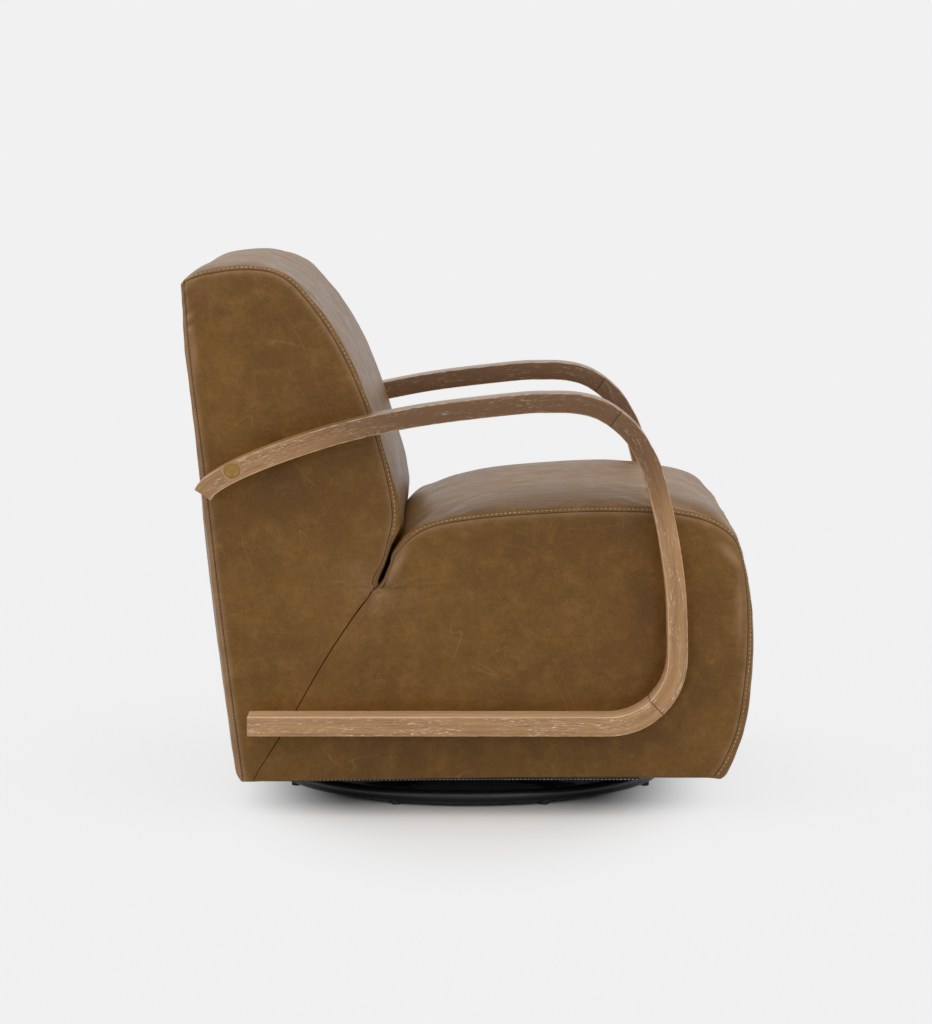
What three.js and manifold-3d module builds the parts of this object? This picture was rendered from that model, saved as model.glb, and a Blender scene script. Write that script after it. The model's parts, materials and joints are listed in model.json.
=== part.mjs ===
// Swivel rocker: a leather lounge chair with bentwood arm loops, rocking and turning on a low round base.
// Millimetres, +Z up, origin on the floor under the swivel axis. The sitter faces -Y, so "fore" below is
// the distance ahead of the swivel axis, and outlines are drawn in the (fore, height) plane.
import * as THREE from 'three';
import { mergeVertices } from 'three/addons/utils/BufferGeometryUtils.js';
import Module from 'manifold-3d';

const wasm = await Module();
wasm.setup();

// Driving dimensions

const clearance = 0.3; // between two pieces that seat on each other
const shellGap = 0.5; // between the seat shell and the back shell
const overrun = 5; // how far a cutting solid passes the face that it cuts
const weldDistance = 0.0001; // corners closer than this are one corner

// Upholstered body. A reach is measured from the swivel axis, a height from the floor.
const shell = {
  width: 620,
  pillow: 5, // swell of a side panel past its seams
  frontReach: 403,
  seatSeamHeight: 437,
  notchReach: 136, // notch between seat and back, behind the axis
  notchHeight: 326,
  rearReach: 411,
  noseReach: 111, // the back's nose over the seat, behind the axis
  backSeamHeight: 786,
  heelInset: 98, // foot of the slanting side seam, ahead of the rear reach
  hemHeight: 44,
};
shell.backDepth = shell.rearReach - shell.noseReach;
shell.heelReach = shell.rearReach - shell.heelInset;

// Plywood frame inside the body
const frame = {
  board: 22,
  padding: 31, // leather and foam outside a side panel
  bottom: 52,
  seatTop: 290,
  frontInset: 68, // behind the shell's front reach
  heelInset: 9, // ahead of the shell's heel
  postTop: 735,
  postTopInset: 27, // ahead of the shell's rear reach
  postDepth: 72,
  kneeRadius: 60,
  slotHeight: 66,
  slotLength: 420,
  slotCentreHeight: 222,
  slotCentreFore: 40,
  rearRailHeight: 98,
  rearRailInset: 4,
  springRailHeight: 65,
  springRailInset: 91, // ahead of the frame's heel
  topRailHeight: 43,
  topRailDrop: 3, // below the post's top
  topRailInset: 34, // ahead of the post's top
  bearerWidth: 45,
  bearerHeight: 45,
  bearerReach: 110,
};
frame.frontReach = shell.frontReach - frame.frontInset;
frame.heelReach = shell.heelReach - frame.heelInset;
frame.postTopReach = shell.rearReach - frame.postTopInset;
frame.springRailReach = frame.heelReach - frame.springRailInset;
frame.topRailReach = frame.postTopReach - frame.topRailInset;

// Sinuous seat springs on the frame's front rail and spring rail
const seatSpring = { wire: 4, amplitude: 22, spacing: 120, count: 4, waves: 6, endInset: 11 };

// Bentwood arm loops
const arm = {
  width: 60,
  thickness: 28,
  chamfer: 2.5,
  tipInset: 28.5, // middle of the tip's end face, ahead of the shell's rear reach
  frontInset: 104, // front upright, behind the shell's front reach
  crestHeight: 599, // centreline at its highest
  railHeight: 132, // centreline of the bottom rail
  railOverhang: 8, // rear end of the bottom rail, past the shell's heel
  cornerRadius: 80,
  boltInset: 42.5, // ahead of the tip
  boltHeight: 503.5,
};
arm.tipReach = shell.rearReach - arm.tipInset;
arm.boltReach = arm.tipReach - arm.boltInset;
arm.frontReach = shell.frontReach - arm.frontInset;
arm.railReach = shell.heelReach + arm.railOverhang;
const capBolt = { headRadius: 11.5, headDepth: 6, rimWidth: 3, rimStep: 0.8, shankRadius: 5, inside: 5 };
const railScrew = { radius: 4, headRadius: 9, headDepth: 4, grip: 34, rearReach: 200, frontReach: 165 };

// Floor ring, spider and glides
const ring = { radius: 285, tube: 10.2, lift: 4 };
const spider = { armWidth: 75, depth: 12, wall: 3, hubRadius: 90 };
const glide = { radius: 6.8, round: 1.2, count: 8 };

// Ball bearing between the spider and the swivelling plate
const bearing = {
  radius: 85,
  plate: 3.2,
  raceRadius: 62,
  raceGap: 0.5, // between a ball and its race
  ball: 4,
  groove: 1.5,
  cage: 2,
  cageWidth: 13,
  balls: 12,
};
const stud = { radius: 8, head: 15, headDepth: 4, top: 44, nutRadius: 15, nutDepth: 8 };

// Rocker mechanism
const rocker = {
  pivotHeight: 95,
  shaftRadius: 8,
  shaftEnd: 8, // how far the shaft passes the outer ears
  earRadius: 18,
  earFoot: 34, // half the width of an ear where it leaves its plate
  cradleHalf: 100, // over the inner ears, each side
  cradleReach: 98,
  earPlate: 5,
  plate: 4,
  saddleGap: 4, // between inner and outer ears
  saddleRoom: 5, // between an inner ear's top and the saddle plate
  saddleReach: 135,
  saddleMargin: 3,
  nutRoom: 20,
  bushWall: 2,
  bushFlange: 14,
  bushFlangeDepth: 2,
  clipRadius: 13,
  clipDepth: 2,
};
const coil = { radius: 15.5, wire: 5, turns: 5, fore: 72, side: 58, bossRadius: 11, bossHeight: 7 };
const mountRail = { width: 40, plate: 4, reach: 150, flange: 18 };
const mountBolt = { radius: 4, headRadius: 9, headDepth: 6, side: 86, inset: 4 };

// Dust cover under the body
const dustCover = { thickness: 1.4, openingReach: 165, openingHalf: 132 };

// Outlines as shares. The first number runs forwards: from the notch to the front reach for the seat, from
// the rear reach over the back's depth for the back, and from the rear reach to the heel for the rear seam.
// The second runs up from the hem to the highest seam.
const seatSeamShares = [
  [0, 0.718], [0.053, 0.847], [0.132, 0.933], [0.279, 0.974], [0.494, 0.996], [0.642, 1], [0.789, 0.992],
  [0.892, 0.962], [0.958, 0.904], [0.983, 0.822], [0.999, 0.664], [0.999, 0.45], [0.978, 0.214],
  [0.944, 0.083], [0.913, 0.015],
];
const seatCrownShares = [
  [0, 0.718], [0.037, 0.868], [0.122, 0.962], [0.279, 1.025], [0.494, 1.057], [0.642, 1.065], [0.789, 1.053],
  [0.902, 1.017], [0.955, 0.95], [0.981, 0.878], [1.013, 0.682], [1.02, 0.453], [1.004, 0.219],
  [0.978, 0.092], [0.957, 0.015],
];
const backSeamShares = [
  [0, 0.977], [0.077, 0.989], [0.22, 0.999], [0.34, 1], [0.447, 0.991], [0.547, 0.96], [0.69, 0.884],
  [0.805, 0.796], [0.897, 0.698], [0.968, 0.596], [0.995, 0.523], [0.972, 0.469], [0.917, 0.38],
];
const backCrownShares = [
  [-0.03, 0.973], [0.06, 1.004], [0.21, 1.013], [0.34, 1.013], [0.463, 0.992], [0.56, 0.961], [0.703, 0.884],
  [0.813, 0.799], [0.908, 0.699], [0.997, 0.597], [1.036, 0.52], [1.02, 0.466], [0.917, 0.38],
];
const rearSeamShares = [
  [0.817, 0], [0.661, 0.159], [0.465, 0.376], [0.272, 0.611], [0.077, 0.826], [0.021, 0.931],
  [0, 0.977],
];
const rearCrownShares = [
  [0.726, 0], [0.572, 0.159], [0.367, 0.376], [0.19, 0.612], [0.015, 0.826], [-0.083, 0.931],
  [-0.092, 0.973],
];
// Arm centreline from the tip over the crest and down the front, before the lower corner. The first number
// runs from the tip's reach to the front reach, the second from the rail to the crest.
const armShares = [
  [0, 0.718], [0.05, 0.777], [0.111, 0.818], [0.194, 0.863], [0.288, 0.906], [0.384, 0.939], [0.498, 0.968],
  [0.665, 0.996], [0.728, 1], [0.781, 0.998], [0.828, 0.983], [0.867, 0.951], [0.902, 0.904], [0.926, 0.85],
  [0.947, 0.781], [0.976, 0.61], [0.995, 0.426], [1, 0.27],
];
const shoulderShare = 0.371; // where the arm's upper joint lies, of the centreline's length
const cornerShare = 0.63; // where its lower joint lies
const stationShares = [0, 0.5, 0.75, 0.87, 0.94, 0.98, 1]; // loft stations from the middle to a side seam
const crownPower = 8; // how flat the crown stays before it rolls over to the seam
const pillowShares = [[0.012, 0.5], [0.04, 0.85], [0.09, 1]]; // a side panel's border: drawn in, swollen out

// Derived sizes

const half = {
  shell: shell.width / 2,
  seam: shell.width / 2 - shell.pillow,
  panelOuter: shell.width / 2 - frame.padding,
};
half.panelInner = half.panelOuter - frame.board;
half.armInner = half.shell + clearance;
half.armOuter = half.armInner + arm.width;
const level = { ring: ring.lift + ring.tube };
level.spiderTop = level.ring + spider.depth / 2;
level.lowerPlateTop = level.spiderTop + clearance + bearing.plate;
level.ball = level.lowerPlateTop - bearing.groove + bearing.raceGap + bearing.ball;
level.upperPlate = level.ball + bearing.ball + bearing.raceGap - bearing.groove;
level.cradle = level.upperPlate + bearing.plate + clearance;
level.cradleTop = level.cradle + rocker.plate;
level.saddle = rocker.pivotHeight + rocker.earRadius + rocker.saddleRoom;
level.mountRail = level.saddle + rocker.plate + clearance;
level.bearer = level.mountRail + mountRail.plate + clearance;
level.seatSpring = frame.seatTop + clearance + seatSpring.wire / 2;
level.foam = level.seatSpring + seatSpring.wire / 2 + clearance;

// Materials

function finish(color, roughness, metalness) {
  return new THREE.MeshStandardMaterial({ color, roughness, metalness });
}
const materials = {
  leather: finish(0x6d5230, 0.45, 0),
  oak: finish(0x8a6b4a, 0.6, 0),
  plywood: finish(0xb59a6c, 0.75, 0),
  blackSteel: finish(0x141517, 0.35, 0.6),
  zinc: finish(0x9a9da0, 0.35, 0.9),
  springSteel: finish(0x3b3d40, 0.4, 0.9),
  brass: finish(0xaa823c, 0.35, 0.9),
  nylon: finish(0xe2dfd6, 0.5, 0),
  blackCloth: finish(0x1b1b1c, 0.95, 0),
};

// Helpers

// Turns a geometry drawn in the (fore, height) plane and extruded along its third axis into the row frame.
const sideways = new THREE.Matrix4().makeBasis(
  new THREE.Vector3(0, -1, 0),
  new THREE.Vector3(0, 0, 1),
  new THREE.Vector3(-1, 0, 0),
);
const alongX = new THREE.Matrix4().makeRotationZ(-Math.PI / 2); // lathe axis to +X
const alongZ = new THREE.Matrix4().makeRotationX(Math.PI / 2); // lathe axis to +Z

function solid(geometry) {
  const bare = geometry.clone();
  const extras = Object.keys(bare.attributes).filter((name) => name !== 'position');
  for (const name of extras) bare.deleteAttribute(name);
  const merged = mergeVertices(bare, weldDistance);
  const vertProperties = new Float32Array(merged.attributes.position.array);
  const triVerts = new Uint32Array(merged.index.array);
  return new wasm.Manifold(new wasm.Mesh({ numProp: 3, vertProperties, triVerts }));
}

function surface(manifold) {
  const mesh = manifold.getMesh();
  const geometry = new THREE.BufferGeometry();
  geometry.setAttribute('position', new THREE.BufferAttribute(new Float32Array(mesh.vertProperties), 3));
  geometry.setIndex(new THREE.BufferAttribute(new Uint32Array(mesh.triVerts), 1));
  geometry.computeVertexNormals();
  return geometry;
}

function cut(geometry, ...tools) {
  return surface(tools.map(solid).reduce((left, tool) => left.subtract(tool), solid(geometry)));
}

function join(...geometries) {
  return surface(geometries.map(solid).reduce((all, next) => all.add(next)));
}

function box(x0, x1, y0, y1, z0, z1) {
  const block = new THREE.BoxGeometry(x1 - x0, y1 - y0, z1 - z0);
  return block.translate((x0 + x1) / 2, (y0 + y1) / 2, (z0 + z1) / 2);
}

// A turned piece: profile of [radius, distance along the axis], the axis laid along +Z or +X.
function turned(profile, segments, axis = alongZ) {
  const points = profile.map(([r, h]) => new THREE.Vector2(r, h));
  return new THREE.LatheGeometry(points, segments).applyMatrix4(axis);
}

// A cylinder along +X from x0 to x1 at a place in the (fore, height) plane.
function rodX(radius, x0, x1, fore, height, segments = 16) {
  const length = x1 - x0;
  return new THREE.CylinderGeometry(radius, radius, length, segments)
    .applyMatrix4(alongX)
    .translate((x0 + x1) / 2, -fore, height);
}

function rodZ(radius, x, y, z0, z1, segments = 16) {
  const upright = new THREE.CylinderGeometry(radius, radius, z1 - z0, segments).applyMatrix4(alongZ);
  return upright.translate(x, y, (z0 + z1) / 2);
}

// An outline in the (fore, height) plane made into a board between two places along X.
function board(shape, x0, x1, curveSegments = 8) {
  const settings = { depth: x1 - x0, bevelEnabled: false, curveSegments };
  return new THREE.ExtrudeGeometry(shape, settings).applyMatrix4(sideways).translate(x1, 0, 0);
}

// Joins rings of equally many points into one closed skin, with flat ends.
function loft(rings, flatten) {
  const count = rings[0].length;
  const positions = rings.flat().flatMap((p) => [p.x, p.y, p.z]);
  const index = [];
  for (let r = 0; r < rings.length - 1; r += 1) {
    for (let i = 0; i < count; i += 1) {
      const [a, b] = [r * count + i, r * count + ((i + 1) % count)];
      index.push(a, b, b + count, a, b + count, a + count);
    }
  }
  [rings[0], rings[rings.length - 1]].forEach((end, which) => {
    const outline = end.map(flatten);
    const offset = which * (rings.length - 1) * count;
    const reverse = THREE.ShapeUtils.area(outline) > 0 === (which === 0);
    for (const [a, b, c] of THREE.ShapeUtils.triangulateShape(outline, [])) {
      index.push(...(reverse ? [a, c, b] : [a, b, c]).map((k) => k + offset));
    }
  });
  const geometry = new THREE.BufferGeometry();
  geometry.setAttribute('position', new THREE.Float32BufferAttribute(positions, 3));
  geometry.setIndex(index);
  return volume(geometry) < 0 ? flipped(geometry) : geometry;
}

function volume(geometry) {
  const [p, index] = [geometry.attributes.position, geometry.index.array];
  const corner = (k) => new THREE.Vector3().fromBufferAttribute(p, index[k]);
  let total = 0;
  for (let k = 0; k < index.length; k += 3) total += corner(k).dot(corner(k + 1).cross(corner(k + 2)));
  return total;
}

function flipped(geometry) {
  const index = Array.from(geometry.index.array);
  for (let k = 0; k < index.length; k += 3) [index[k + 1], index[k + 2]] = [index[k + 2], index[k + 1]];
  return geometry.clone().setIndex(index);
}

// Mirror copy across the chair's middle plane.
function mirrored(geometry) {
  const copy = geometry.clone().scale(-1, 1, 1);
  const indexed = copy.index ? copy : mergeVertices(copy);
  return flipped(indexed);
}

// The assembly: nested groups for the fixed base, the swivelling cradle and the rocking chair

const chairModel = new THREE.Group();
const base = new THREE.Group();
const swivel = new THREE.Group();
const chair = new THREE.Group();
chairModel.add(base);
base.add(swivel);
swivel.add(chair);

function place(group, name, geometry, material) {
  const mesh = new THREE.Mesh(geometry, material);
  mesh.name = name;
  group.add(mesh);
}

const sides = [['left', 1], ['right', -1]];
function placePair(group, name, geometry, material) {
  for (const [side, sign] of sides) {
    place(group, `${name}_${side}`, sign > 0 ? geometry : mirrored(geometry), material);
  }
}

// Upholstered shells

const seatPoint = ([a, b]) =>
  new THREE.Vector2(
    a * (shell.frontReach + shell.notchReach) - shell.notchReach,
    shell.hemHeight + b * (shell.seatSeamHeight - shell.hemHeight),
  );
const backPoint = ([a, b]) =>
  new THREE.Vector2(
    a * shell.backDepth - shell.rearReach,
    shell.hemHeight + b * (shell.backSeamHeight - shell.hemHeight),
  );
const rearPoint = ([a, b]) =>
  new THREE.Vector2(
    a * shell.heelInset - shell.rearReach,
    shell.hemHeight + b * (shell.backSeamHeight - shell.hemHeight),
  );
const heel = new THREE.Vector2(-shell.heelReach, shell.hemHeight);
const notch = new THREE.Vector2(-shell.notchReach, shell.notchHeight);

const spline = (shares, toPoint, steps) => new THREE.SplineCurve(shares.map(toPoint)).getPoints(steps);
function straight(from, to, steps) {
  return Array.from({ length: steps + 1 }, (_, i) => from.clone().lerp(to, i / steps));
}
const chain = (...stretches) => stretches.flatMap((points) => points.slice(0, -1));

// The slanting seam is moved square to itself by a gap, so that the two shells stand clear of each other.
function slantingSeam(gap) {
  const along = notch.clone().sub(heel).normalize();
  const square = new THREE.Vector2(along.y, -along.x).multiplyScalar(gap);
  return [heel.clone().add(square), notch.clone().add(square)];
}

function seatOutline(shares) {
  const steps = { curve: 36, bottom: 6, seam: 5 };
  const [low, high] = slantingSeam(shellGap);
  const curve = spline(shares, seatPoint, steps.curve);
  curve[0] = high;
  return chain(curve, straight(curve[curve.length - 1], low, steps.bottom), straight(low, high, steps.seam));
}

function backOutline(frontShares, rearShares) {
  const steps = { curve: 34, seam: 5, bottom: 1, rear: 13 };
  const curve = spline(frontShares, backPoint, steps.curve);
  const rear = spline(rearShares, rearPoint, steps.rear);
  curve[curve.length - 1] = notch;
  return chain(curve, straight(notch, heel, steps.seam), straight(heel, rear[0], steps.bottom), rear);
}

// Moves every point of a closed outline square to it, outwards for a positive distance.
function grown(points, distance) {
  const sense = Math.sign(THREE.ShapeUtils.area(points));
  return points.map((p, i) => {
    const before = points[(i + points.length - 1) % points.length];
    const after = points[(i + 1) % points.length];
    const along = after.clone().sub(before).normalize();
    return new THREE.Vector2(p.x + along.y * distance * sense, p.y - along.x * distance * sense);
  });
}

// Loft between a side seam's outline and the crowned outline in the middle, with swollen side panels.
function upholstery(seam, crown, grow = 0) {
  const seamLine = grown(seam, grow);
  const crownLine = grown(crown, grow);
  const middle = seamLine.reduce((sum, p) => sum.add(p), new THREE.Vector2()).divideScalar(seamLine.length);
  const lift = (points, x) => points.map((p) => new THREE.Vector3(x, -p.x, p.y));
  const station = (share) => {
    const roll = Math.sqrt(Math.max(0, 1 - Math.abs(share) ** crownPower));
    return lift(seamLine.map((p, i) => p.clone().lerp(crownLine[i], roll)), share * (half.seam + grow));
  };
  const border = (sign) => ([drawShare, swellShare]) => {
    const drawn = seamLine.map((p) => p.clone().lerp(middle, drawShare));
    return lift(drawn, sign * (half.seam + grow + swellShare * shell.pillow));
  };
  const rings = [
    ...pillowShares.map(border(-1)).reverse(),
    ...stationShares.slice(1).reverse().map((share) => station(-share)),
    ...stationShares.map(station),
    ...pillowShares.map(border(1)),
  ];
  return loft(rings, (p) => new THREE.Vector2(-p.y, p.z));
}

// Plywood side panel: seat part and back post in one board

function panelShape(grow, seatTop, bottom) {
  const f = frame;
  const rise = f.postTop - f.bottom;
  const lean = (f.postTopReach - f.heelReach) / rise;
  const rearAt = (height) => -f.heelReach - lean * (height - f.bottom);
  const kneeFore = rearAt(seatTop) + f.postDepth + grow;
  const shape = new THREE.Shape();
  shape.moveTo(rearAt(bottom) - grow, bottom);
  shape.lineTo(f.frontReach + grow, bottom);
  shape.lineTo(f.frontReach + grow, seatTop);
  shape.lineTo(kneeFore + f.kneeRadius, seatTop);
  shape.quadraticCurveTo(kneeFore, seatTop, kneeFore - lean * f.kneeRadius, seatTop + f.kneeRadius);
  shape.lineTo(rearAt(f.postTop) + f.postDepth + grow, f.postTop + grow);
  shape.lineTo(rearAt(f.postTop) - grow, f.postTop + grow);
  return shape;
}

function slotPath() {
  const r = frame.slotHeight / 2;
  const reach = frame.slotLength / 2 - r;
  const path = new THREE.Path();
  path.absarc(frame.slotCentreFore + reach, frame.slotCentreHeight, r, -Math.PI / 2, Math.PI / 2);
  path.absarc(frame.slotCentreFore - reach, frame.slotCentreHeight, r, Math.PI / 2, (3 * Math.PI) / 2);
  path.closePath();
  return path;
}

function makeFrame() {
  const f = frame;
  const inner = half.panelInner - clearance;
  const between = (fore0, fore1, z0, z1) => box(-inner, inner, -fore1, -fore0, z0, z1);
  const outline = panelShape(0, f.seatTop, f.bottom);
  outline.holes.push(slotPath());
  const panel = cut(
    board(outline, half.panelInner, half.panelOuter),
    armBoltHole(half.panelInner - overrun, half.panelOuter + overrun),
    ...railScrewHoles(half.panelInner - overrun, half.panelOuter + overrun),
  );
  placePair(chair, 'frame_side_panel', panel, materials.plywood);
  const plywood = materials.plywood;
  const frontRail = between(f.frontReach - f.board, f.frontReach, f.bottom, f.seatTop);
  place(chair, 'frame_front_rail', frontRail, plywood);
  const rearFore = f.rearRailInset - f.heelReach;
  const rearRail = between(rearFore, rearFore + f.board, f.bottom, f.bottom + f.rearRailHeight);
  place(chair, 'frame_rear_rail', rearRail, plywood);
  const springFore = -f.springRailReach;
  place(
    chair, 'frame_spring_rail',
    between(springFore - f.board, springFore, f.seatTop - f.springRailHeight, f.seatTop), plywood,
  );
  const topHigh = f.postTop - f.topRailDrop;
  place(
    chair, 'frame_top_rail',
    between(-f.topRailReach - f.board, -f.topRailReach, topHigh - f.topRailHeight, topHigh), plywood,
  );
  for (const [end, sign] of [['front', 1], ['rear', -1]]) {
    const fore = sign * f.bearerReach;
    const [rear, front] = [fore - f.bearerWidth / 2, fore + f.bearerWidth / 2];
    const bearer = between(rear, front, level.bearer, level.bearer + f.bearerHeight);
    const holes = mountBoltHoles(level.bearer, f.bearerHeight);
    place(chair, `frame_bearer_${end}`, cut(bearer, ...holes), plywood);
  }
}

// Sinuous springs

class SinuousLine extends THREE.Curve {
  constructor(x) {
    super();
    this.x = x;
  }

  getPoint(t, target = new THREE.Vector3()) {
    const from = frame.frontReach - seatSpring.endInset;
    const to = -frame.springRailReach - seatSpring.endInset;
    const sway = seatSpring.amplitude * Math.sin(2 * Math.PI * seatSpring.waves * t);
    return target.set(this.x + sway, -THREE.MathUtils.lerp(from, to, t), level.seatSpring);
  }
}

function round(radius, sides) {
  const points = Array.from({ length: sides }, (_, i) => {
    const angle = (2 * Math.PI * i) / sides;
    return new THREE.Vector2(radius * Math.cos(angle), radius * Math.sin(angle));
  });
  return new THREE.Shape(points);
}

function wireAlong(curve, diameter, steps, sides) {
  const section = round(diameter / 2, sides);
  return new THREE.ExtrudeGeometry(section, { extrudePath: curve, steps, bevelEnabled: false });
}

function makeSeatSprings() {
  const stepsPerWave = 6;
  const wireSides = 5;
  for (let i = 0; i < seatSpring.count; i += 1) {
    const x = (i - (seatSpring.count - 1) / 2) * seatSpring.spacing;
    const wire = wireAlong(new SinuousLine(x), seatSpring.wire, stepsPerWave * seatSpring.waves, wireSides);
    place(chair, `seat_spring_${i + 1}`, wire, materials.springSteel);
  }
}

// Upholstered seat and back, hollowed for the frame

function frameSpace() {
  const reach = half.panelOuter + clearance;
  return board(panelShape(clearance, level.foam, shell.hemHeight - overrun), -reach, reach);
}

function makeUpholstery() {
  const seam = backOutline(backSeamShares, rearSeamShares);
  const crown = backOutline(backCrownShares, rearCrownShares);
  const touching = clearance; // the seat stays this far off the back where they press together
  const side = [half.panelOuter - overrun, half.shell + overrun];
  const bothSides = (geometries) => [...geometries, ...geometries.map(mirrored)];
  const back = cut(upholstery(seam, crown), frameSpace(), ...bothSides([armBoltHole(...side)]));
  const seat = cut(
    upholstery(seatOutline(seatSeamShares), seatOutline(seatCrownShares)),
    upholstery(seam, crown, touching),
    frameSpace(),
    ...bothSides(railScrewHoles(...side)),
  );
  place(chair, 'seat_cushion', seat, materials.leather);
  place(chair, 'back_cushion', back, materials.leather);
}

// Dust cover: flat cloth inside the hem, open in the middle for the mechanism

function makeDustCover() {
  const top = frame.bottom - clearance;
  const outer = half.panelOuter;
  const cover = cut(
    box(-outer, outer, -frame.frontReach, frame.heelReach, top - dustCover.thickness, top),
    box(
      -dustCover.openingHalf, dustCover.openingHalf, -dustCover.openingReach, dustCover.openingReach,
      top - dustCover.thickness - overrun, top + overrun,
    ),
  );
  place(chair, 'dust_cover', cover, materials.blackCloth);
}

// Arms: one bent centreline, cut into three pieces at the joints

const armPoint = ([a, b]) =>
  new THREE.Vector2(
    THREE.MathUtils.lerp(-arm.tipReach, arm.frontReach, a),
    THREE.MathUtils.lerp(arm.railHeight, arm.crestHeight, b),
  );

function armCentreline() {
  const corner = new THREE.Vector2(arm.frontReach - arm.cornerRadius, arm.railHeight + arm.cornerRadius);
  const bendStart = new THREE.Vector2(arm.frontReach, corner.y);
  const upper = new THREE.SplineCurve([...armShares.map(armPoint), bendStart]);
  const { cornerRadius } = arm;
  const bend = new THREE.EllipseCurve(corner.x, corner.y, cornerRadius, cornerRadius, 0, -Math.PI / 2, true);
  const rail = new THREE.LineCurve(
    new THREE.Vector2(corner.x, arm.railHeight),
    new THREE.Vector2(-arm.railReach, arm.railHeight),
  );
  const path = new THREE.CurvePath();
  path.arcLengthDivisions = 600;
  for (const stretch of [upper, bend, rail]) path.add(stretch);
  const straightShare = 1 - rail.getLength() / path.getLength();
  return { path, straightShare };
}

function evenShares(from, to, steps) {
  return Array.from({ length: steps + 1 }, (_, i) => THREE.MathUtils.lerp(from, to, i / steps));
}

// Sweeps a chamfered section along a stretch of the centreline, given in shares of its length.
function armStretch(path, shares) {
  const [inner, outer] = [half.armInner, half.armOuter];
  const [h, c] = [arm.thickness / 2, arm.chamfer];
  const section = [
    [inner, h - c], [inner + c, h], [outer - c, h], [outer, h - c],
    [outer, c - h], [outer - c, -h], [inner + c, -h], [inner, c - h],
  ];
  const rings = shares.map((share) => {
    const p = path.getPointAt(share);
    const along = path.getTangentAt(share);
    return section.map(([x, rise]) => new THREE.Vector3(x, -(p.x - along.y * rise), p.y + along.x * rise));
  });
  const centre = rings.map((ringPoints) => ringPoints[0]);
  return loft(rings, (p) => new THREE.Vector2(p.x, Math.hypot(p.y - centre[0].y, p.z - centre[0].z)));
}

function armBoltHole(x0, x1) {
  return rodX(capBolt.shankRadius + clearance, x0, x1, -arm.boltReach, arm.boltHeight);
}

function railScrewHoles(x0, x1) {
  const radius = railScrew.radius + clearance;
  const places = [-railScrew.rearReach, railScrew.frontReach];
  return places.map((fore) => rodX(radius, x0, x1, fore, arm.railHeight));
}

function makeArms() {
  const { path, straightShare } = armCentreline();
  const joint = clearance / 2 / path.getLength();
  const steps = { top: 30, front: 26, bend: 5 };
  const oak = materials.oak;
  const boreFloor = half.armOuter - capBolt.headDepth - clearance;
  const [boreRadius, boreSides] = [capBolt.headRadius + clearance, 24];
  const boreMouth = half.armOuter + overrun;
  const counterbore = rodX(boreRadius, boreFloor, boreMouth, -arm.boltReach, arm.boltHeight, boreSides);
  const boltHole = armBoltHole(half.armInner - overrun, half.armOuter + overrun);
  const top = armStretch(path, evenShares(0, shoulderShare - joint, steps.top));
  placePair(chair, 'arm_top', cut(top, boltHole, counterbore), oak);
  const front = armStretch(path, evenShares(shoulderShare + joint, cornerShare - joint, steps.front));
  placePair(chair, 'arm_front', front, oak);
  const rail = armStretch(path, [...evenShares(cornerShare + joint, straightShare, steps.bend), 1]);
  const depth = half.armInner + railScrew.grip + clearance;
  placePair(chair, 'arm_rail', cut(rail, ...railScrewHoles(half.armInner - overrun, depth)), oak);
}

// Brass cap bolts at the arm tips and wood screws through the side panels into the bottom rails

function makeArmFasteners() {
  const b = capBolt;
  const inside = half.panelInner - b.inside;
  const head = half.armOuter - b.headDepth;
  const bolt = turned(
    [
      [0, inside], [b.shankRadius, inside], [b.shankRadius, head], [b.headRadius, head],
      [b.headRadius, half.armOuter], [b.headRadius - b.rimWidth, half.armOuter],
      [b.headRadius - b.rimWidth, half.armOuter - b.rimStep],
      [0, half.armOuter - b.rimStep],
    ],
    24, alongX,
  ).translate(0, arm.boltReach, arm.boltHeight);
  placePair(chair, 'arm_cap_bolt', bolt, materials.brass);
  const s = railScrew;
  const seat = half.panelInner - clearance;
  for (const [end, fore] of [['rear', -s.rearReach], ['front', s.frontReach]]) {
    const screw = turned(
      [
        [0, seat - s.headDepth], [s.headRadius, seat - s.headDepth], [s.headRadius, seat], [s.radius, seat],
        [s.radius, half.armInner + s.grip - s.radius], [0, half.armInner + s.grip],
      ],
      12, alongX,
    ).translate(0, -fore, arm.railHeight);
    placePair(chair, `rail_screw_${end}`, screw, materials.zinc);
  }
}

// Floor ring with glides, and the spider that carries the bearing

function ringTube(grow, segments = 56, tubeSides = 8) {
  const profile = Array.from({ length: tubeSides + 1 }, (_, i) => {
    const angle = (2 * Math.PI * (i % tubeSides)) / tubeSides;
    const r = ring.tube + grow;
    return [ring.radius + r * Math.cos(angle), level.ring + r * Math.sin(angle)];
  });
  return turned(profile, segments);
}

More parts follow.
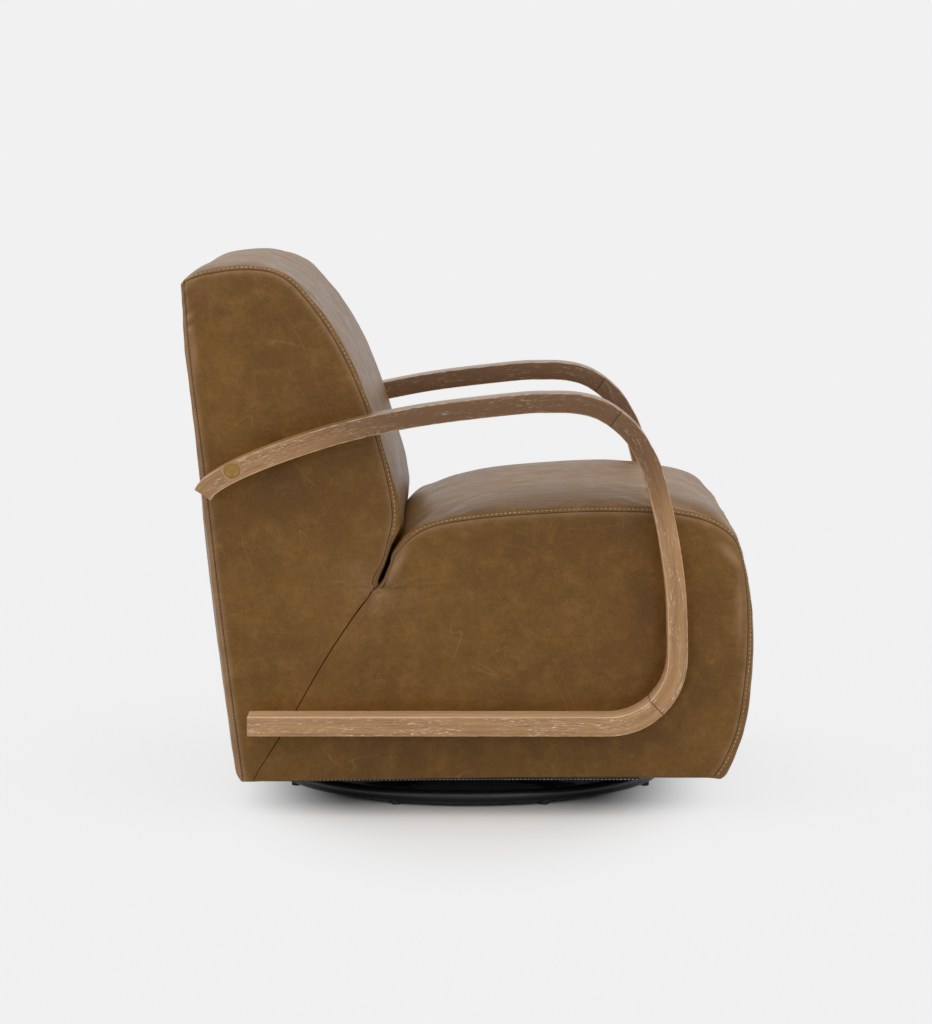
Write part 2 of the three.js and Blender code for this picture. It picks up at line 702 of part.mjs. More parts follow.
function makeBase() {
  place(base, 'base_ring', ringTube(0), materials.blackSteel);
  const around = ringTube(clearance);
  const w = spider.armWidth / 2;
  const bottom = level.spiderTop - spider.depth;
  const inside = w - spider.wall;
  const channels = [1, -1].map((sign) => {
    const bar = box(-ring.radius, ring.radius, -w, w, bottom, level.spiderTop);
    return bar.rotateZ((sign * Math.PI) / 4);
  });
  const troughs = [1, -1].map((sign) => {
    const [low, high] = [bottom - overrun, level.spiderTop - spider.wall];
    const hollow = box(-ring.radius, ring.radius, -inside, inside, low, high);
    return hollow.rotateZ((sign * Math.PI) / 4);
  });
  const hub = rodZ(spider.hubRadius, 0, 0, level.spiderTop - spider.wall, level.spiderTop, 32);
  const studHole = rodZ(stud.radius + clearance, 0, 0, bottom - overrun, level.spiderTop + overrun);
  const pressing = cut(join(...channels, hub), ...troughs, around, studHole);
  place(base, 'base_spider', pressing, materials.blackSteel);
  for (let i = 0; i < glide.count; i += 1) {
    const angle = ((i + 0.5) * 2 * Math.PI) / glide.count;
    const { radius, round: edge } = glide;
    const foot = turned(
      [[0, 0], [radius - edge, 0], [radius, edge], [radius, level.ring], [0, level.ring]],
      12,
    ).translate(ring.radius * Math.cos(angle), ring.radius * Math.sin(angle), 0);
    place(base, `foot_glide_${i + 1}`, cut(foot, around), materials.blackSteel);
  }
}

// Ball bearing: two plates with a race each, and a cage of balls between them

function racePlate(bore, low, high, faceHigh) {
  const steps = 2;
  const radius = bearing.ball + bearing.raceGap;
  const face = faceHigh ? high : low;
  const halfAngle = Math.acos(Math.min(1, Math.abs(level.ball - face) / radius));
  const race = Array.from({ length: steps + 1 }, (_, i) => {
    const angle = THREE.MathUtils.lerp(-halfAngle, halfAngle, i / steps);
    const drop = radius * Math.cos(angle);
    return [bearing.raceRadius + radius * Math.sin(angle), faceHigh ? level.ball - drop : level.ball + drop];
  });
  const [inner, outer] = [[bore, low], [bearing.radius, low]];
  const walls = faceHigh
    ? [outer, [bearing.radius, high], ...race.reverse()]
    : [...race, outer, [bearing.radius, high]];
  return turned([inner, ...walls, [bore, high], inner], 2 * bearing.balls);
}

function makeBearing() {
  const bore = stud.radius + clearance;
  const low = level.spiderTop + clearance;
  place(base, 'bearing_lower_plate', racePlate(bore, low, low + bearing.plate, true), materials.zinc);
  const cageLow = level.ball - bearing.cage / 2;
  const inner = bearing.raceRadius - bearing.cageWidth / 2;
  const outer = bearing.raceRadius + bearing.cageWidth / 2;
  const cageHigh = cageLow + bearing.cage;
  const cage = turned(
    [[inner, cageLow], [outer, cageLow], [outer, cageHigh], [inner, cageHigh], [inner, cageLow]],
    24,
  );
  const balls = Array.from({ length: bearing.balls }, (_, i) => {
    const angle = (2 * Math.PI * i) / bearing.balls;
    const [x, y] = [bearing.raceRadius * Math.cos(angle), bearing.raceRadius * Math.sin(angle)];
    return new THREE.SphereGeometry(bearing.ball, 6, 4).applyMatrix4(alongZ).translate(x, y, level.ball);
  });
  place(base, 'bearing_ball_cage', join(cage, ...balls), materials.zinc);
  const plateHigh = level.upperPlate + bearing.plate;
  place(swivel, 'bearing_upper_plate', racePlate(bore, level.upperPlate, plateHigh, false), materials.zinc);
  const headTop = level.spiderTop - spider.wall - clearance;
  const pin = turned(
    [
      [0, headTop - stud.headDepth], [stud.head, headTop - stud.headDepth], [stud.head, headTop],
      [stud.radius, headTop], [stud.radius, stud.top], [0, stud.top],
    ],
    16,
  );
  place(base, 'center_stud', pin, materials.zinc);
  const nutLow = plateHigh + clearance;
  const nutHigh = nutLow + stud.nutDepth;
  const nutSides = 6;
  const nut = cut(
    turned([[0, nutLow], [stud.nutRadius, nutLow], [stud.nutRadius, nutHigh], [0, nutHigh]], nutSides),
    rodZ(bore, 0, 0, nutLow - overrun, nutHigh + overrun),
  );
  place(base, 'center_nut', nut, materials.zinc);
}

// Rocker mechanism: cradle ears carry the shaft in bushes, saddle ears hang the chair on it

// An ear from a plate's height to the pivot, with a round end, between two places along X.
function ear(plateHeight, x0, x1) {
  const { pivotHeight, earRadius, earFoot } = rocker;
  const up = Math.sign(pivotHeight - plateHeight);
  const shape = new THREE.Shape();
  shape.moveTo(-earFoot, plateHeight);
  shape.lineTo(-earRadius, pivotHeight);
  shape.absarc(0, pivotHeight, earRadius, Math.PI, 0, up > 0);
  shape.lineTo(earFoot, plateHeight);
  return board(shape, x0, x1);
}

const coilPlaces = [['front', -1], ['rear', 1]].flatMap(([end, ySign]) =>
  sides.map(([side, xSign]) => [`${end}_${side}`, xSign * coil.side, ySign * coil.fore]),
);

function mountBoltHoles(low, depth) {
  const radius = mountBolt.radius + clearance;
  const [z0, z1] = [low - overrun, low + depth + overrun];
  const hole = (xSign, ySign) => rodZ(radius, xSign * mountBolt.side, ySign * frame.bearerReach, z0, z1, 12);
  return [hole(1, 1), hole(1, -1), hole(-1, 1), hole(-1, -1)];
}

class Helix extends THREE.Curve {
  constructor(x, y, low, high) {
    super();
    Object.assign(this, { x, y, low, high });
  }

  getPoint(t, target = new THREE.Vector3()) {
    const angle = 2 * Math.PI * coil.turns * t;
    const z = THREE.MathUtils.lerp(this.low, this.high, t);
    return target.set(this.x + coil.radius * Math.cos(angle), this.y + coil.radius * Math.sin(angle), z);
  }
}

function makeRocker() {
  const r = rocker;
  const innerEar = [r.cradleHalf - r.earPlate, r.cradleHalf];
  const outerEar = [r.cradleHalf + r.saddleGap, r.cradleHalf + r.saddleGap + r.earPlate];
  const bushHole = r.shaftRadius + clearance + r.bushWall + clearance;
  const boss = (z0, z1) => coilPlaces.map(([, x, y]) => rodZ(coil.bossRadius, x, y, z0, z1, 8));
  const through = (radius, reach) => rodX(radius, -reach, reach, 0, r.pivotHeight);

  const { cradleHalf, cradleReach } = r;
  const cradlePlate = box(-cradleHalf, cradleHalf, -cradleReach, cradleReach, level.cradle, level.cradleTop);
  const innerEars = [ear(level.cradle, ...innerEar), ear(level.cradle, -innerEar[1], -innerEar[0])];
  const cradle = cut(
    join(cradlePlate, ...innerEars, ...boss(level.cradle, level.cradleTop + coil.bossHeight)),
    through(bushHole, r.cradleHalf + overrun),
    rodZ(r.nutRoom, 0, 0, level.cradle - overrun, level.cradleTop + overrun),
  );
  place(swivel, 'rocker_cradle', cradle, materials.blackSteel);

  const saddleHalf = outerEar[1] + r.saddleMargin;
  const saddleTop = level.saddle + r.plate;
  const saddlePlate = box(-saddleHalf, saddleHalf, -r.saddleReach, r.saddleReach, level.saddle, saddleTop);
  const outerEars = [ear(saddleTop, ...outerEar), ear(saddleTop, -outerEar[1], -outerEar[0])];
  const saddle = cut(
    join(saddlePlate, ...outerEars, ...boss(level.saddle - coil.bossHeight, saddleTop)),
    through(r.shaftRadius + clearance, outerEar[1] + overrun),
    ...mountBoltHoles(level.saddle, r.plate),
  );
  place(chair, 'rocker_saddle', saddle, materials.blackSteel);

  const [bushInner, bushOuter] = [r.shaftRadius + clearance, r.shaftRadius + clearance + r.bushWall];
  const flangeFace = innerEar[0] - clearance;
  const bush = turned(
    [
      [bushInner, flangeFace - r.bushFlangeDepth], [r.bushFlange, flangeFace - r.bushFlangeDepth],
      [r.bushFlange, flangeFace], [bushOuter, flangeFace], [bushOuter, innerEar[1]],
      [bushInner, innerEar[1]],
      [bushInner, flangeFace - r.bushFlangeDepth],
    ],
    16, alongX,
  ).translate(0, 0, r.pivotHeight);
  placePair(swivel, 'shaft_bush', bush, materials.nylon);
  const shaftEnd = outerEar[1] + r.shaftEnd;
  place(chair, 'rock_shaft', rodX(r.shaftRadius, -shaftEnd, shaftEnd, 0, r.pivotHeight), materials.zinc);
  const clipFace = outerEar[1] + clearance;
  const clip = turned(
    [
      [bushInner, clipFace], [r.clipRadius, clipFace], [r.clipRadius, clipFace + r.clipDepth],
      [bushInner, clipFace + r.clipDepth], [bushInner, clipFace],
    ],
    16, alongX,
  ).translate(0, 0, r.pivotHeight);
  placePair(chair, 'shaft_clip', clip, materials.zinc);

  const low = level.cradleTop + clearance + coil.wire / 2;
  const high = level.saddle - clearance - coil.wire / 2;
  const stepsPerTurn = 8;
  const wireSides = 5;
  for (const [where, x, y] of coilPlaces) {
    const wire = wireAlong(new Helix(x, y, low, high), coil.wire, stepsPerTurn * coil.turns, wireSides);
    place(swivel, `rocker_spring_${where}`, wire, materials.springSteel);
  }
}

// Mounting rails and bolts between the saddle and the frame's bearers

function makeMounting() {
  const m = mountRail;
  const saddleHalf = rocker.cradleHalf + rocker.saddleGap + rocker.earPlate + rocker.saddleMargin;
  const outer = saddleHalf + clearance + m.plate;
  const top = level.mountRail + m.plate;
  const flat = box(outer - m.width, outer, -m.reach, m.reach, level.mountRail, top);
  const flange = box(outer - m.plate, outer, -m.reach, m.reach, top - m.flange, top);
  const rail = cut(join(flat, flange), ...mountBoltHoles(level.mountRail, m.plate));
  placePair(chair, 'mount_rail', rail, materials.blackSteel);
  const b = mountBolt;
  const head = level.saddle - clearance;
  const tip = level.bearer + frame.bearerHeight - b.inset;
  const headLow = head - b.headDepth;
  const profile = [
    [0, headLow], [b.headRadius, headLow], [b.headRadius, head], [b.radius, head], [b.radius, tip], [0, tip],
  ];
  for (const [end, ySign] of [['front', -1], ['rear', 1]]) {
    for (const [side, xSign] of sides) {
      const bolt = turned(profile, 12).translate(xSign * b.side, ySign * frame.bearerReach, 0);
      place(chair, `mount_bolt_${end}_${side}`, bolt, materials.zinc);
    }
  }
}

makeBase();
makeBearing();
makeRocker();
makeMounting();
makeFrame();
makeSeatSprings();
makeUpholstery();
makeDustCover();
makeArms();
makeArmFasteners();

export default chairModel;
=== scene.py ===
"""Dresses the swivel rocker: a leather body with bentwood oak arms on a black ring base.

Everything is in metres in the chair's own frame: +Z up, the origin on the floor under the swivel axis, the
sitter facing -Y. "Fore" is the distance ahead of the swivel axis, so a point at fore f has y = -f.
"""

import json
import logging
import math
from dataclasses import dataclass, field
from enum import Enum
from typing import Callable, Sequence

import bmesh
import bpy
import numpy as np
from bpy.types import Material, Mesh, Node, NodeSocket, NodeTree, Object, Scene, bpy_prop_collection
from mathutils import Matrix, Vector
from mathutils.bvhtree import BVHTree

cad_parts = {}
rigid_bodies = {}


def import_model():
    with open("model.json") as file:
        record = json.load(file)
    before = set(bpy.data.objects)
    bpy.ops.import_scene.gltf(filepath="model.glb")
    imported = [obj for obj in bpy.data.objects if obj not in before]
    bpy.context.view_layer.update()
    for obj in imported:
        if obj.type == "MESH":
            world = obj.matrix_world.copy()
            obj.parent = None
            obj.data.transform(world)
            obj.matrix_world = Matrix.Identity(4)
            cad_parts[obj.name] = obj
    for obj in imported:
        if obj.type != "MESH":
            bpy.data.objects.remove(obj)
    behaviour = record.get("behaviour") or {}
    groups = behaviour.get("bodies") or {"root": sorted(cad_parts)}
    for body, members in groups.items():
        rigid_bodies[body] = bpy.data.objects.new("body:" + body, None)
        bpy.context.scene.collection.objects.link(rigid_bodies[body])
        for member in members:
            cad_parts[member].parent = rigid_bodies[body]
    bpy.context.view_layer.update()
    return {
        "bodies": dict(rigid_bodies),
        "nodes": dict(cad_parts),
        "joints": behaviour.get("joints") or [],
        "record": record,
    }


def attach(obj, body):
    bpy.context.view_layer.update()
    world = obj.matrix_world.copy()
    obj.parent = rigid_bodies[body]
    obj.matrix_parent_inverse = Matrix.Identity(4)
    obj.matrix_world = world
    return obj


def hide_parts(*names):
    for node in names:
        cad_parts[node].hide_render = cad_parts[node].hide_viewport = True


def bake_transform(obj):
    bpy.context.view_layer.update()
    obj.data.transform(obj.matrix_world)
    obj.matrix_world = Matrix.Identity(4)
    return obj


LOG = logging.getLogger("swivel_rocker")
SIDES = {"left": 1.0, "right": -1.0}
Table = tuple[tuple[float, ...], ...]
Colour = tuple[int, int, int]


class Slot(Enum):
    """The record's material slots that the pieces take their finish from."""

    LEATHER = "leather"
    OAK = "oak"
    PLYWOOD = "plywood"
    BASE_BLACK = "base_black"
    ZINC = "zinc_steel"
    SPRING = "spring_steel"
    BRASS = "brass"
    NYLON = "nylon"
    COVER = "cover_cloth"


class Axis(Enum):
    """The axis that a turned piece lies along."""

    X = "X"
    Z = "Z"


# Shared outlines, as shares of the sizes in BodySizes and ArmSizes

SEAT_SEAM = (
    (-0.0052, 0.7145), (0.0037, 0.7066), (0.0139, 0.7145), (0.0217, 0.7305), (0.0315, 0.7573),
    (0.0435, 0.8048), (0.056, 0.847), (0.132, 0.933), (0.279, 0.974), (0.494, 0.996), (0.642, 1),
    (0.789, 0.992), (0.892, 0.962), (0.958, 0.904), (0.983, 0.822), (0.999, 0.664), (0.999, 0.45),
    (0.978, 0.214), (0.944, 0.083), (0.913, 0.015),
)
SEAT_CROWN = (
    (-0.0052, 0.7145), (-0.001, 0.722), (0.005, 0.74), (0.012, 0.768), (0.019, 0.796),
    (0.027, 0.83), (0.037, 0.868), (0.122, 0.962), (0.279, 1.025), (0.494, 1.057), (0.642, 1.065),
    (0.789, 1.053), (0.902, 1.017), (0.955, 0.95), (0.981, 0.878), (1.013, 0.682), (1.02, 0.453),
    (1.004, 0.219), (0.978, 0.092), (0.957, 0.015),
)
BACK_SEAM = (
    (0, 0.977), (0.077, 0.989), (0.22, 0.999), (0.34, 1), (0.447, 0.991), (0.547, 0.96), (0.69, 0.884),
    (0.805, 0.796), (0.897, 0.698), (0.968, 0.596), (0.995, 0.523), (0.972, 0.469), (0.947, 0.4319),
    (0.921, 0.4123), (0.9017, 0.3981), (0.8993, 0.3869), (0.9073, 0.3784),
)
BACK_CROWN = (
    (-0.03, 0.973), (0.06, 1.004), (0.21, 1.013), (0.34, 1.014), (0.467, 0.996), (0.571, 0.966),
    (0.72, 0.889), (0.828, 0.803), (0.92, 0.701), (1.005, 0.597), (1.046, 0.52), (1.03, 0.466),
    (1.0, 0.44), (0.965, 0.418), (0.94, 0.4), (0.922, 0.388), (0.9073, 0.3784),
)
REAR_SEAM = (
    (0.817, 0), (0.661, 0.159), (0.465, 0.376), (0.272, 0.611), (0.077, 0.826), (0.021, 0.931), (0, 0.977),
)
REAR_CROWN = (
    (0.726, 0), (0.572, 0.159), (0.367, 0.376), (0.19, 0.612), (0.015, 0.826), (-0.083, 0.931),
    (-0.092, 0.973),
)
ARM_LINE = (
    (0, 0.718), (0.0117, 0.7407), (0.05, 0.777), (0.111, 0.818), (0.194, 0.863), (0.288, 0.906),
    (0.384, 0.939), (0.498, 0.968), (0.665, 0.996), (0.728, 1), (0.781, 0.998), (0.828, 0.983),
    (0.867, 0.951), (0.902, 0.904), (0.926, 0.85), (0.947, 0.781), (0.976, 0.61), (0.995, 0.426), (1, 0.27),
)

# How far the rounded shoulder stands out beside the side seams: (fore, height, lift) in metres
SEAT_SHOULDERS = (
    (-0.1388, 0.3248, 0.006), (-0.134, 0.3217, 0.008), (-0.1285, 0.3248, 0.0056),
    (-0.1243, 0.3311, 0.0046), (-0.119, 0.3416, 0.0048), (-0.1117, 0.3603, 0.004),
    (-0.1034, 0.3812, 0.0056), (-0.0931, 0.3958, 0.0066),
    (-0.0817, 0.4051, 0.0044), (-0.065, 0.41, 0.0022), (0.13, 0.435, 0.0008), (0.30, 0.43, 0.0006),
    (0.385, 0.40, 0.001), (0.398, 0.35, 0.0022), (0.403, 0.25, 0.0044), (0.391, 0.128, 0.006),
    (0.373, 0.077, 0.0066),
)
BACK_SHOULDERS = (
    (-0.33, 0.05, 0.0066), (-0.36, 0.25, 0.0068), (-0.374, 0.4, 0.0062), (-0.404, 0.66, 0.005),
    (-0.411, 0.769, 0.0016), (-0.33, 0.785, 0.0026), (-0.247, 0.756, 0.0042), (-0.18, 0.7, 0.0044),
    (-0.14, 0.62, 0.004), (-0.118, 0.5, 0.0034), (-0.1125, 0.432, 0.0058), (-0.1138, 0.4186, 0.0092),
    (-0.1153, 0.402, 0.0086), (-0.1189, 0.3832, 0.0056), (-0.1269, 0.3645, 0.0052), (-0.1347, 0.3499, 0.0068),
    (-0.1405, 0.3394, 0.0088), (-0.1412, 0.3311, 0.0083), (-0.1388, 0.3248, 0.006),
)


@dataclass(frozen=True)
class BodySizes:
    """Sizes of the upholstered body."""

    half_width: float = 0.310
    pillow: float = 0.005
    front_reach: float = 0.403
    seat_height: float = 0.437
    notch_reach: float = 0.136
    notch_height: float = 0.326
    rear_reach: float = 0.411
    nose_reach: float = 0.111
    back_height: float = 0.786
    heel_inset: float = 0.098
    hem_height: float = 0.044
    shell_gap: float = 0.0003
    crown_power: float = 8.0
    slot_reach: float = 0.13
    slant_foot: float = 0.3175
    slant_bow: float = 0.005

    @property
    def seam(self) -> float:
        """Half the width between the side seams."""
        return self.half_width - self.pillow

    @property
    def heel(self) -> np.ndarray:
        """Foot of the slanting side seam, as (fore, height)."""
        return np.array((-self.slant_foot, self.hem_height))

    @property
    def notch(self) -> np.ndarray:
        """Where the slanting seam meets the bound notch between seat and back, as (fore, height)."""
        return self.seat_points(SEAT_SEAM[:1])[0]

    def slant(self, count: int, gap: float = 0.0) -> np.ndarray:
        """Returns the slanting seam from its foot to the notch, moved forward by half a gap."""
        along = self.notch - self.heel
        along = along / np.linalg.norm(along)
        square = np.array((along[1], -along[0]))
        t = np.linspace(0, 1, count)
        bow = self.slant_bow * np.sin(math.pi * np.clip((t - 0.33) / 0.67, 0, 1))
        return straight(self.heel, self.notch, count) + square * (gap - bow)[:, None]

    def outline_points(self, shares: Table, depth: float, rear: float, top: float) -> np.ndarray:
        """Turns a table of shares into (fore, height) points.

        Args:
            shares: Pairs of shares, of the depth and of the height over the hem.
            depth: What a full first share measures.
            rear: How far behind the swivel axis the first shares start.
            top: The height that a full second share reaches.

        Returns:
            The points, one row each.
        """
        table = np.array(shares, float)
        height = self.hem_height + table[:, 1] * (top - self.hem_height)
        return np.stack((table[:, 0] * depth - rear, height), axis=1)

    def seat_points(self, shares: Table) -> np.ndarray:
        """Turns a table of seat shares into (fore, height) points."""
        depth = self.front_reach + self.notch_reach
        return self.outline_points(shares, depth, self.notch_reach, self.seat_height)

    def back_points(self, shares: Table) -> np.ndarray:
        """Turns a table of back shares into (fore, height) points."""
        depth = self.rear_reach - self.nose_reach
        return self.outline_points(shares, depth, self.rear_reach, self.back_height)

    def rear_points(self, shares: Table) -> np.ndarray:
        """Turns a table of rear shares into (fore, height) points."""
        return self.outline_points(shares, self.heel_inset, self.rear_reach, self.back_height)


# Numbers and curves


def spline(points: np.ndarray, count: int) -> np.ndarray:
    """Runs a smooth curve through a table of points.

    Args:
        points: The points that the curve passes, one row each.
        count: How many points the finished line has.

    Returns:
        The line, evenly spaced in the curve's own parameter.
    """
    last = len(points) - 1
    place = np.linspace(0, last, count)
    start = np.minimum(place.astype(int), last - 1)
    t = (place - start)[:, None]
    p0 = points[np.maximum(start - 1, 0)]
    p1 = points[start]
    p2 = points[start + 1]
    p3 = points[np.minimum(start + 2, last)]
    v0 = (p2 - p0) / 2
    v1 = (p3 - p1) / 2
    cubic = (2 * p1 - 2 * p2 + v0 + v1) * t**3
    square = (-3 * p1 + 3 * p2 - 2 * v0 - v1) * t**2
    return cubic + square + v0 * t + p1


def straight(start: np.ndarray, end: np.ndarray, count: int) -> np.ndarray:
    """Returns evenly spaced points on a straight line."""
    t = np.linspace(0, 1, count)[:, None]
    return start * (1 - t) + end * t


def lengths(line: np.ndarray) -> np.ndarray:
    """Returns the distance along a line up to each of its points."""
    steps = np.linalg.norm(np.diff(line, axis=0), axis=1)
    return np.concatenate(([0.0], np.cumsum(steps)))


def points_along(line: np.ndarray, along: np.ndarray, places: np.ndarray) -> np.ndarray:
    """Returns the points of a line at places on it, where along gives each of its points' own place."""
    return np.stack([np.interp(places, along, line[:, k]) for k in range(line.shape[1])], axis=1)


def smooth_step(low: float, high: float, value: np.ndarray) -> np.ndarray:
    """Returns 0 below low, 1 above high and a smooth ramp between."""
    t = np.clip((value - low) / (high - low), 0, 1)
    return t * t * (3 - 2 * t)


def distance_to_line(points: np.ndarray, line: np.ndarray) -> np.ndarray:
    """Measures from points to a line of short straight pieces.

    Args:
        points: The points, one row each.
        line: The line's own points, one row each.

    Returns:
        Each point's distance to the nearest place on the line.
    """
    best = np.full(len(points), np.inf)
    for a, b in zip(line[:-1], line[1:]):
        d = b - a
        size = float(d @ d)
        if size < 1e-14:
            continue
        t = np.clip((points - a) @ d / size, 0, 1)
        best = np.minimum(best, np.linalg.norm(points - a - t[:, None] * d, axis=1))
    return best


# Modelling: selection, modifiers and attributes


def deselect_all() -> None:
    """Leaves edit mode and drops the selection."""
    if bpy.context.mode != "OBJECT":
        bpy.ops.object.mode_set(mode="OBJECT")
    bpy.ops.object.select_all(action="DESELECT")


def take(obj: Object) -> Object:
    """Selects one object alone and makes it active."""
    deselect_all()
    obj.select_set(True)
    bpy.context.view_layer.objects.active = obj
    return obj


def apply_modifiers(obj: Object) -> None:
    """Applies every modifier of an object, in order."""
    take(obj)
    for modifier in list(obj.modifiers):
        bpy.ops.object.modifier_apply(modifier=modifier.name)


def settle(obj: Object, name: str) -> Object:
    """Names an object and puts its place, turn and scale into its mesh."""
    take(obj)
    bpy.ops.object.transform_apply(location=True, rotation=True, scale=True)
    obj.name = name
    obj.data.name = name
    return obj


def smooth(obj: Object, angle: float = 40.0) -> None:
    """Shades an object smooth, apart from edges sharper than an angle in degrees."""
    take(obj)
    bpy.ops.object.shade_smooth_by_angle(angle=math.radians(angle))


def tidy_normals(obj: Object, merge: float = 1e-6) -> None:
    """Turns all faces outwards, after merging points that are closer than a distance, unless it is 0."""
    mesh = bmesh.new()
    mesh.from_mesh(obj.data)
    if merge:
        bmesh.ops.remove_doubles(mesh, verts=mesh.verts, dist=merge)
    bmesh.ops.recalc_face_normals(mesh, faces=mesh.faces)
    mesh.to_mesh(obj.data)
    mesh.free()


def select_edges(obj: Object, wanted: Callable[[Vector, Vector], bool]) -> int:
    """Enters edit mode and selects the edges whose two ends pass a test.

    Args:
        obj: The mesh object to work on.
        wanted: Takes the two end points and says whether the edge is meant.

    Returns:
        How many edges are selected.
    """
    take(obj)
    bpy.ops.object.mode_set(mode="EDIT")
    bpy.ops.mesh.select_mode(type="EDGE")
    bpy.ops.mesh.select_all(action="DESELECT")
    mesh = bmesh.from_edit_mesh(obj.data)
    count = 0
    for edge in mesh.edges:
        if wanted(edge.verts[0].co, edge.verts[1].co):
            edge.select_set(True)
            count += 1
    bmesh.update_edit_mesh(obj.data)
    return count


def side_view(points: np.ndarray) -> np.ndarray:
    """Turns x, y, z points into the side view's (fore, height)."""
    return np.stack((-points[:, 1], points[:, 2]), axis=1)


def mesh_object(name: str, points: np.ndarray, faces: Sequence = (), edges: Sequence = ()) -> Object:
    """Makes a mesh object from points and faces, or edges."""
    data = bpy.data.meshes.new(name)
    data.from_pydata([tuple(p) for p in points], edges, [tuple(f) for f in faces])
    data.update()
    obj = bpy.data.objects.new(name, data)
    bpy.context.scene.collection.objects.link(obj)
    return obj


def coordinates(data: Mesh) -> np.ndarray:
    """Returns a mesh's points as rows of x, y, z."""
    flat = np.zeros(len(data.vertices) * 3)
    data.vertices.foreach_get("co", flat)
    return flat.reshape(-1, 3)


def set_coordinates(data: Mesh, points: np.ndarray) -> None:
    """Moves a mesh's points."""
    data.vertices.foreach_set("co", points.astype(np.float32).ravel())
    data.update()


def normals(data: Mesh) -> np.ndarray:
    """Returns the surface direction at each of a mesh's points."""
    flat = np.zeros(len(data.vertices) * 3)
    data.vertex_normals.foreach_get("vector", flat)
    return flat.reshape(-1, 3)


def set_attribute(data: Mesh, name: str, values: np.ndarray) -> None:
    """Writes one number, or three, per point as a named attribute."""
    kind, key = ("FLOAT", "value") if values.ndim == 1 else ("FLOAT_VECTOR", "vector")
    attribute = data.attributes.get(name) or data.attributes.new(name, kind, "POINT")
    attribute.data.foreach_set(key, values.astype(np.float32).ravel())


def dress(obj: Object, material: Material) -> None:
    """Gives an object one material."""
    obj.data.materials.clear()
    obj.data.materials.append(material)


def cut_with(obj: Object, cutter: Object) -> None:
    """Cuts a solid out of another and removes the cutting solid."""
    modifier = obj.modifiers.new("Cut", "BOOLEAN")
    modifier.operation = "DIFFERENCE"
    modifier.solver = "EXACT"
    modifier.object = cutter
    apply_modifiers(obj)
    bpy.data.objects.remove(cutter)


def turned(name: str, profile: Table, steps: int, axis: Axis) -> Object:
    """Turns a profile round an axis through the origin.

    Args:
        name: The new object's name.
        profile: Pairs of radius and distance along the axis, from the axis back to the axis.
        steps: How many faces go round.
        axis: The axis that the piece lies along.

    Returns:
        The closed, turned piece.
    """
    points = np.array([(r, 0.0, h) for r, h in profile])
    obj = mesh_object(name, points, (), [(i, i + 1) for i in range(len(points) - 1)])
    take(obj)
    bpy.ops.object.mode_set(mode="EDIT")
    bpy.ops.mesh.select_all(action="SELECT")
    bpy.ops.mesh.spin(steps=steps, angle=math.tau, center=(0, 0, 0), axis=(0, 0, 1))
    bpy.ops.object.mode_set(mode="OBJECT")
    tidy_normals(obj)
    if axis is Axis.X:
        obj.data.transform(Matrix.Rotation(math.pi / 2, 4, "Y"))
    return obj


# Finishes


class Wiring:
    """A tree of nodes, with short calls to add and link them."""

    def __init__(self, tree: NodeTree) -> None:
        """Takes the tree to work on."""
        self.nodes = tree.nodes
        self.links = tree.links

    def feed(self, target: NodeSocket, value: object) -> None:
        """Links a socket to another one, or sets its value."""
        if isinstance(value, NodeSocket):
            self.links.new(value, target)
        else:
            target.default_value = value

    def node(self, kind: str, inputs: dict[str | int, object], **settings: object) -> Node:
        """Adds a node.

        Args:
            kind: Blender's name of the node type.
            inputs: Values or sockets for its inputs, by name or number.
            settings: Its other properties.

        Returns:
            The new node.
        """
        made = self.nodes.new(kind)
        for key, value in settings.items():
            setattr(made, key, value)
        for key, value in inputs.items():
            self.feed(made.inputs[key], value)
        return made

    def math(self, operation: str, a: object, b: object = 0.0, clamp: bool = False) -> NodeSocket:
        """Returns the result of a sum on one or two numbers."""
        made = self.node("ShaderNodeMath", {0: a, 1: b}, operation=operation, use_clamp=clamp)
        return made.outputs[0]

    def seen_directly(self) -> NodeSocket:
        """Returns 1 where the camera, a gloss or clear matter sees the surface, and 0 for lighting."""
        path = self.node("ShaderNodeLightPath", {}).outputs
        direct = self.math("ADD", path["Is Camera Ray"], path["Is Glossy Ray"])
        return self.math("ADD", direct, path["Is Transmission Ray"], clamp=True)


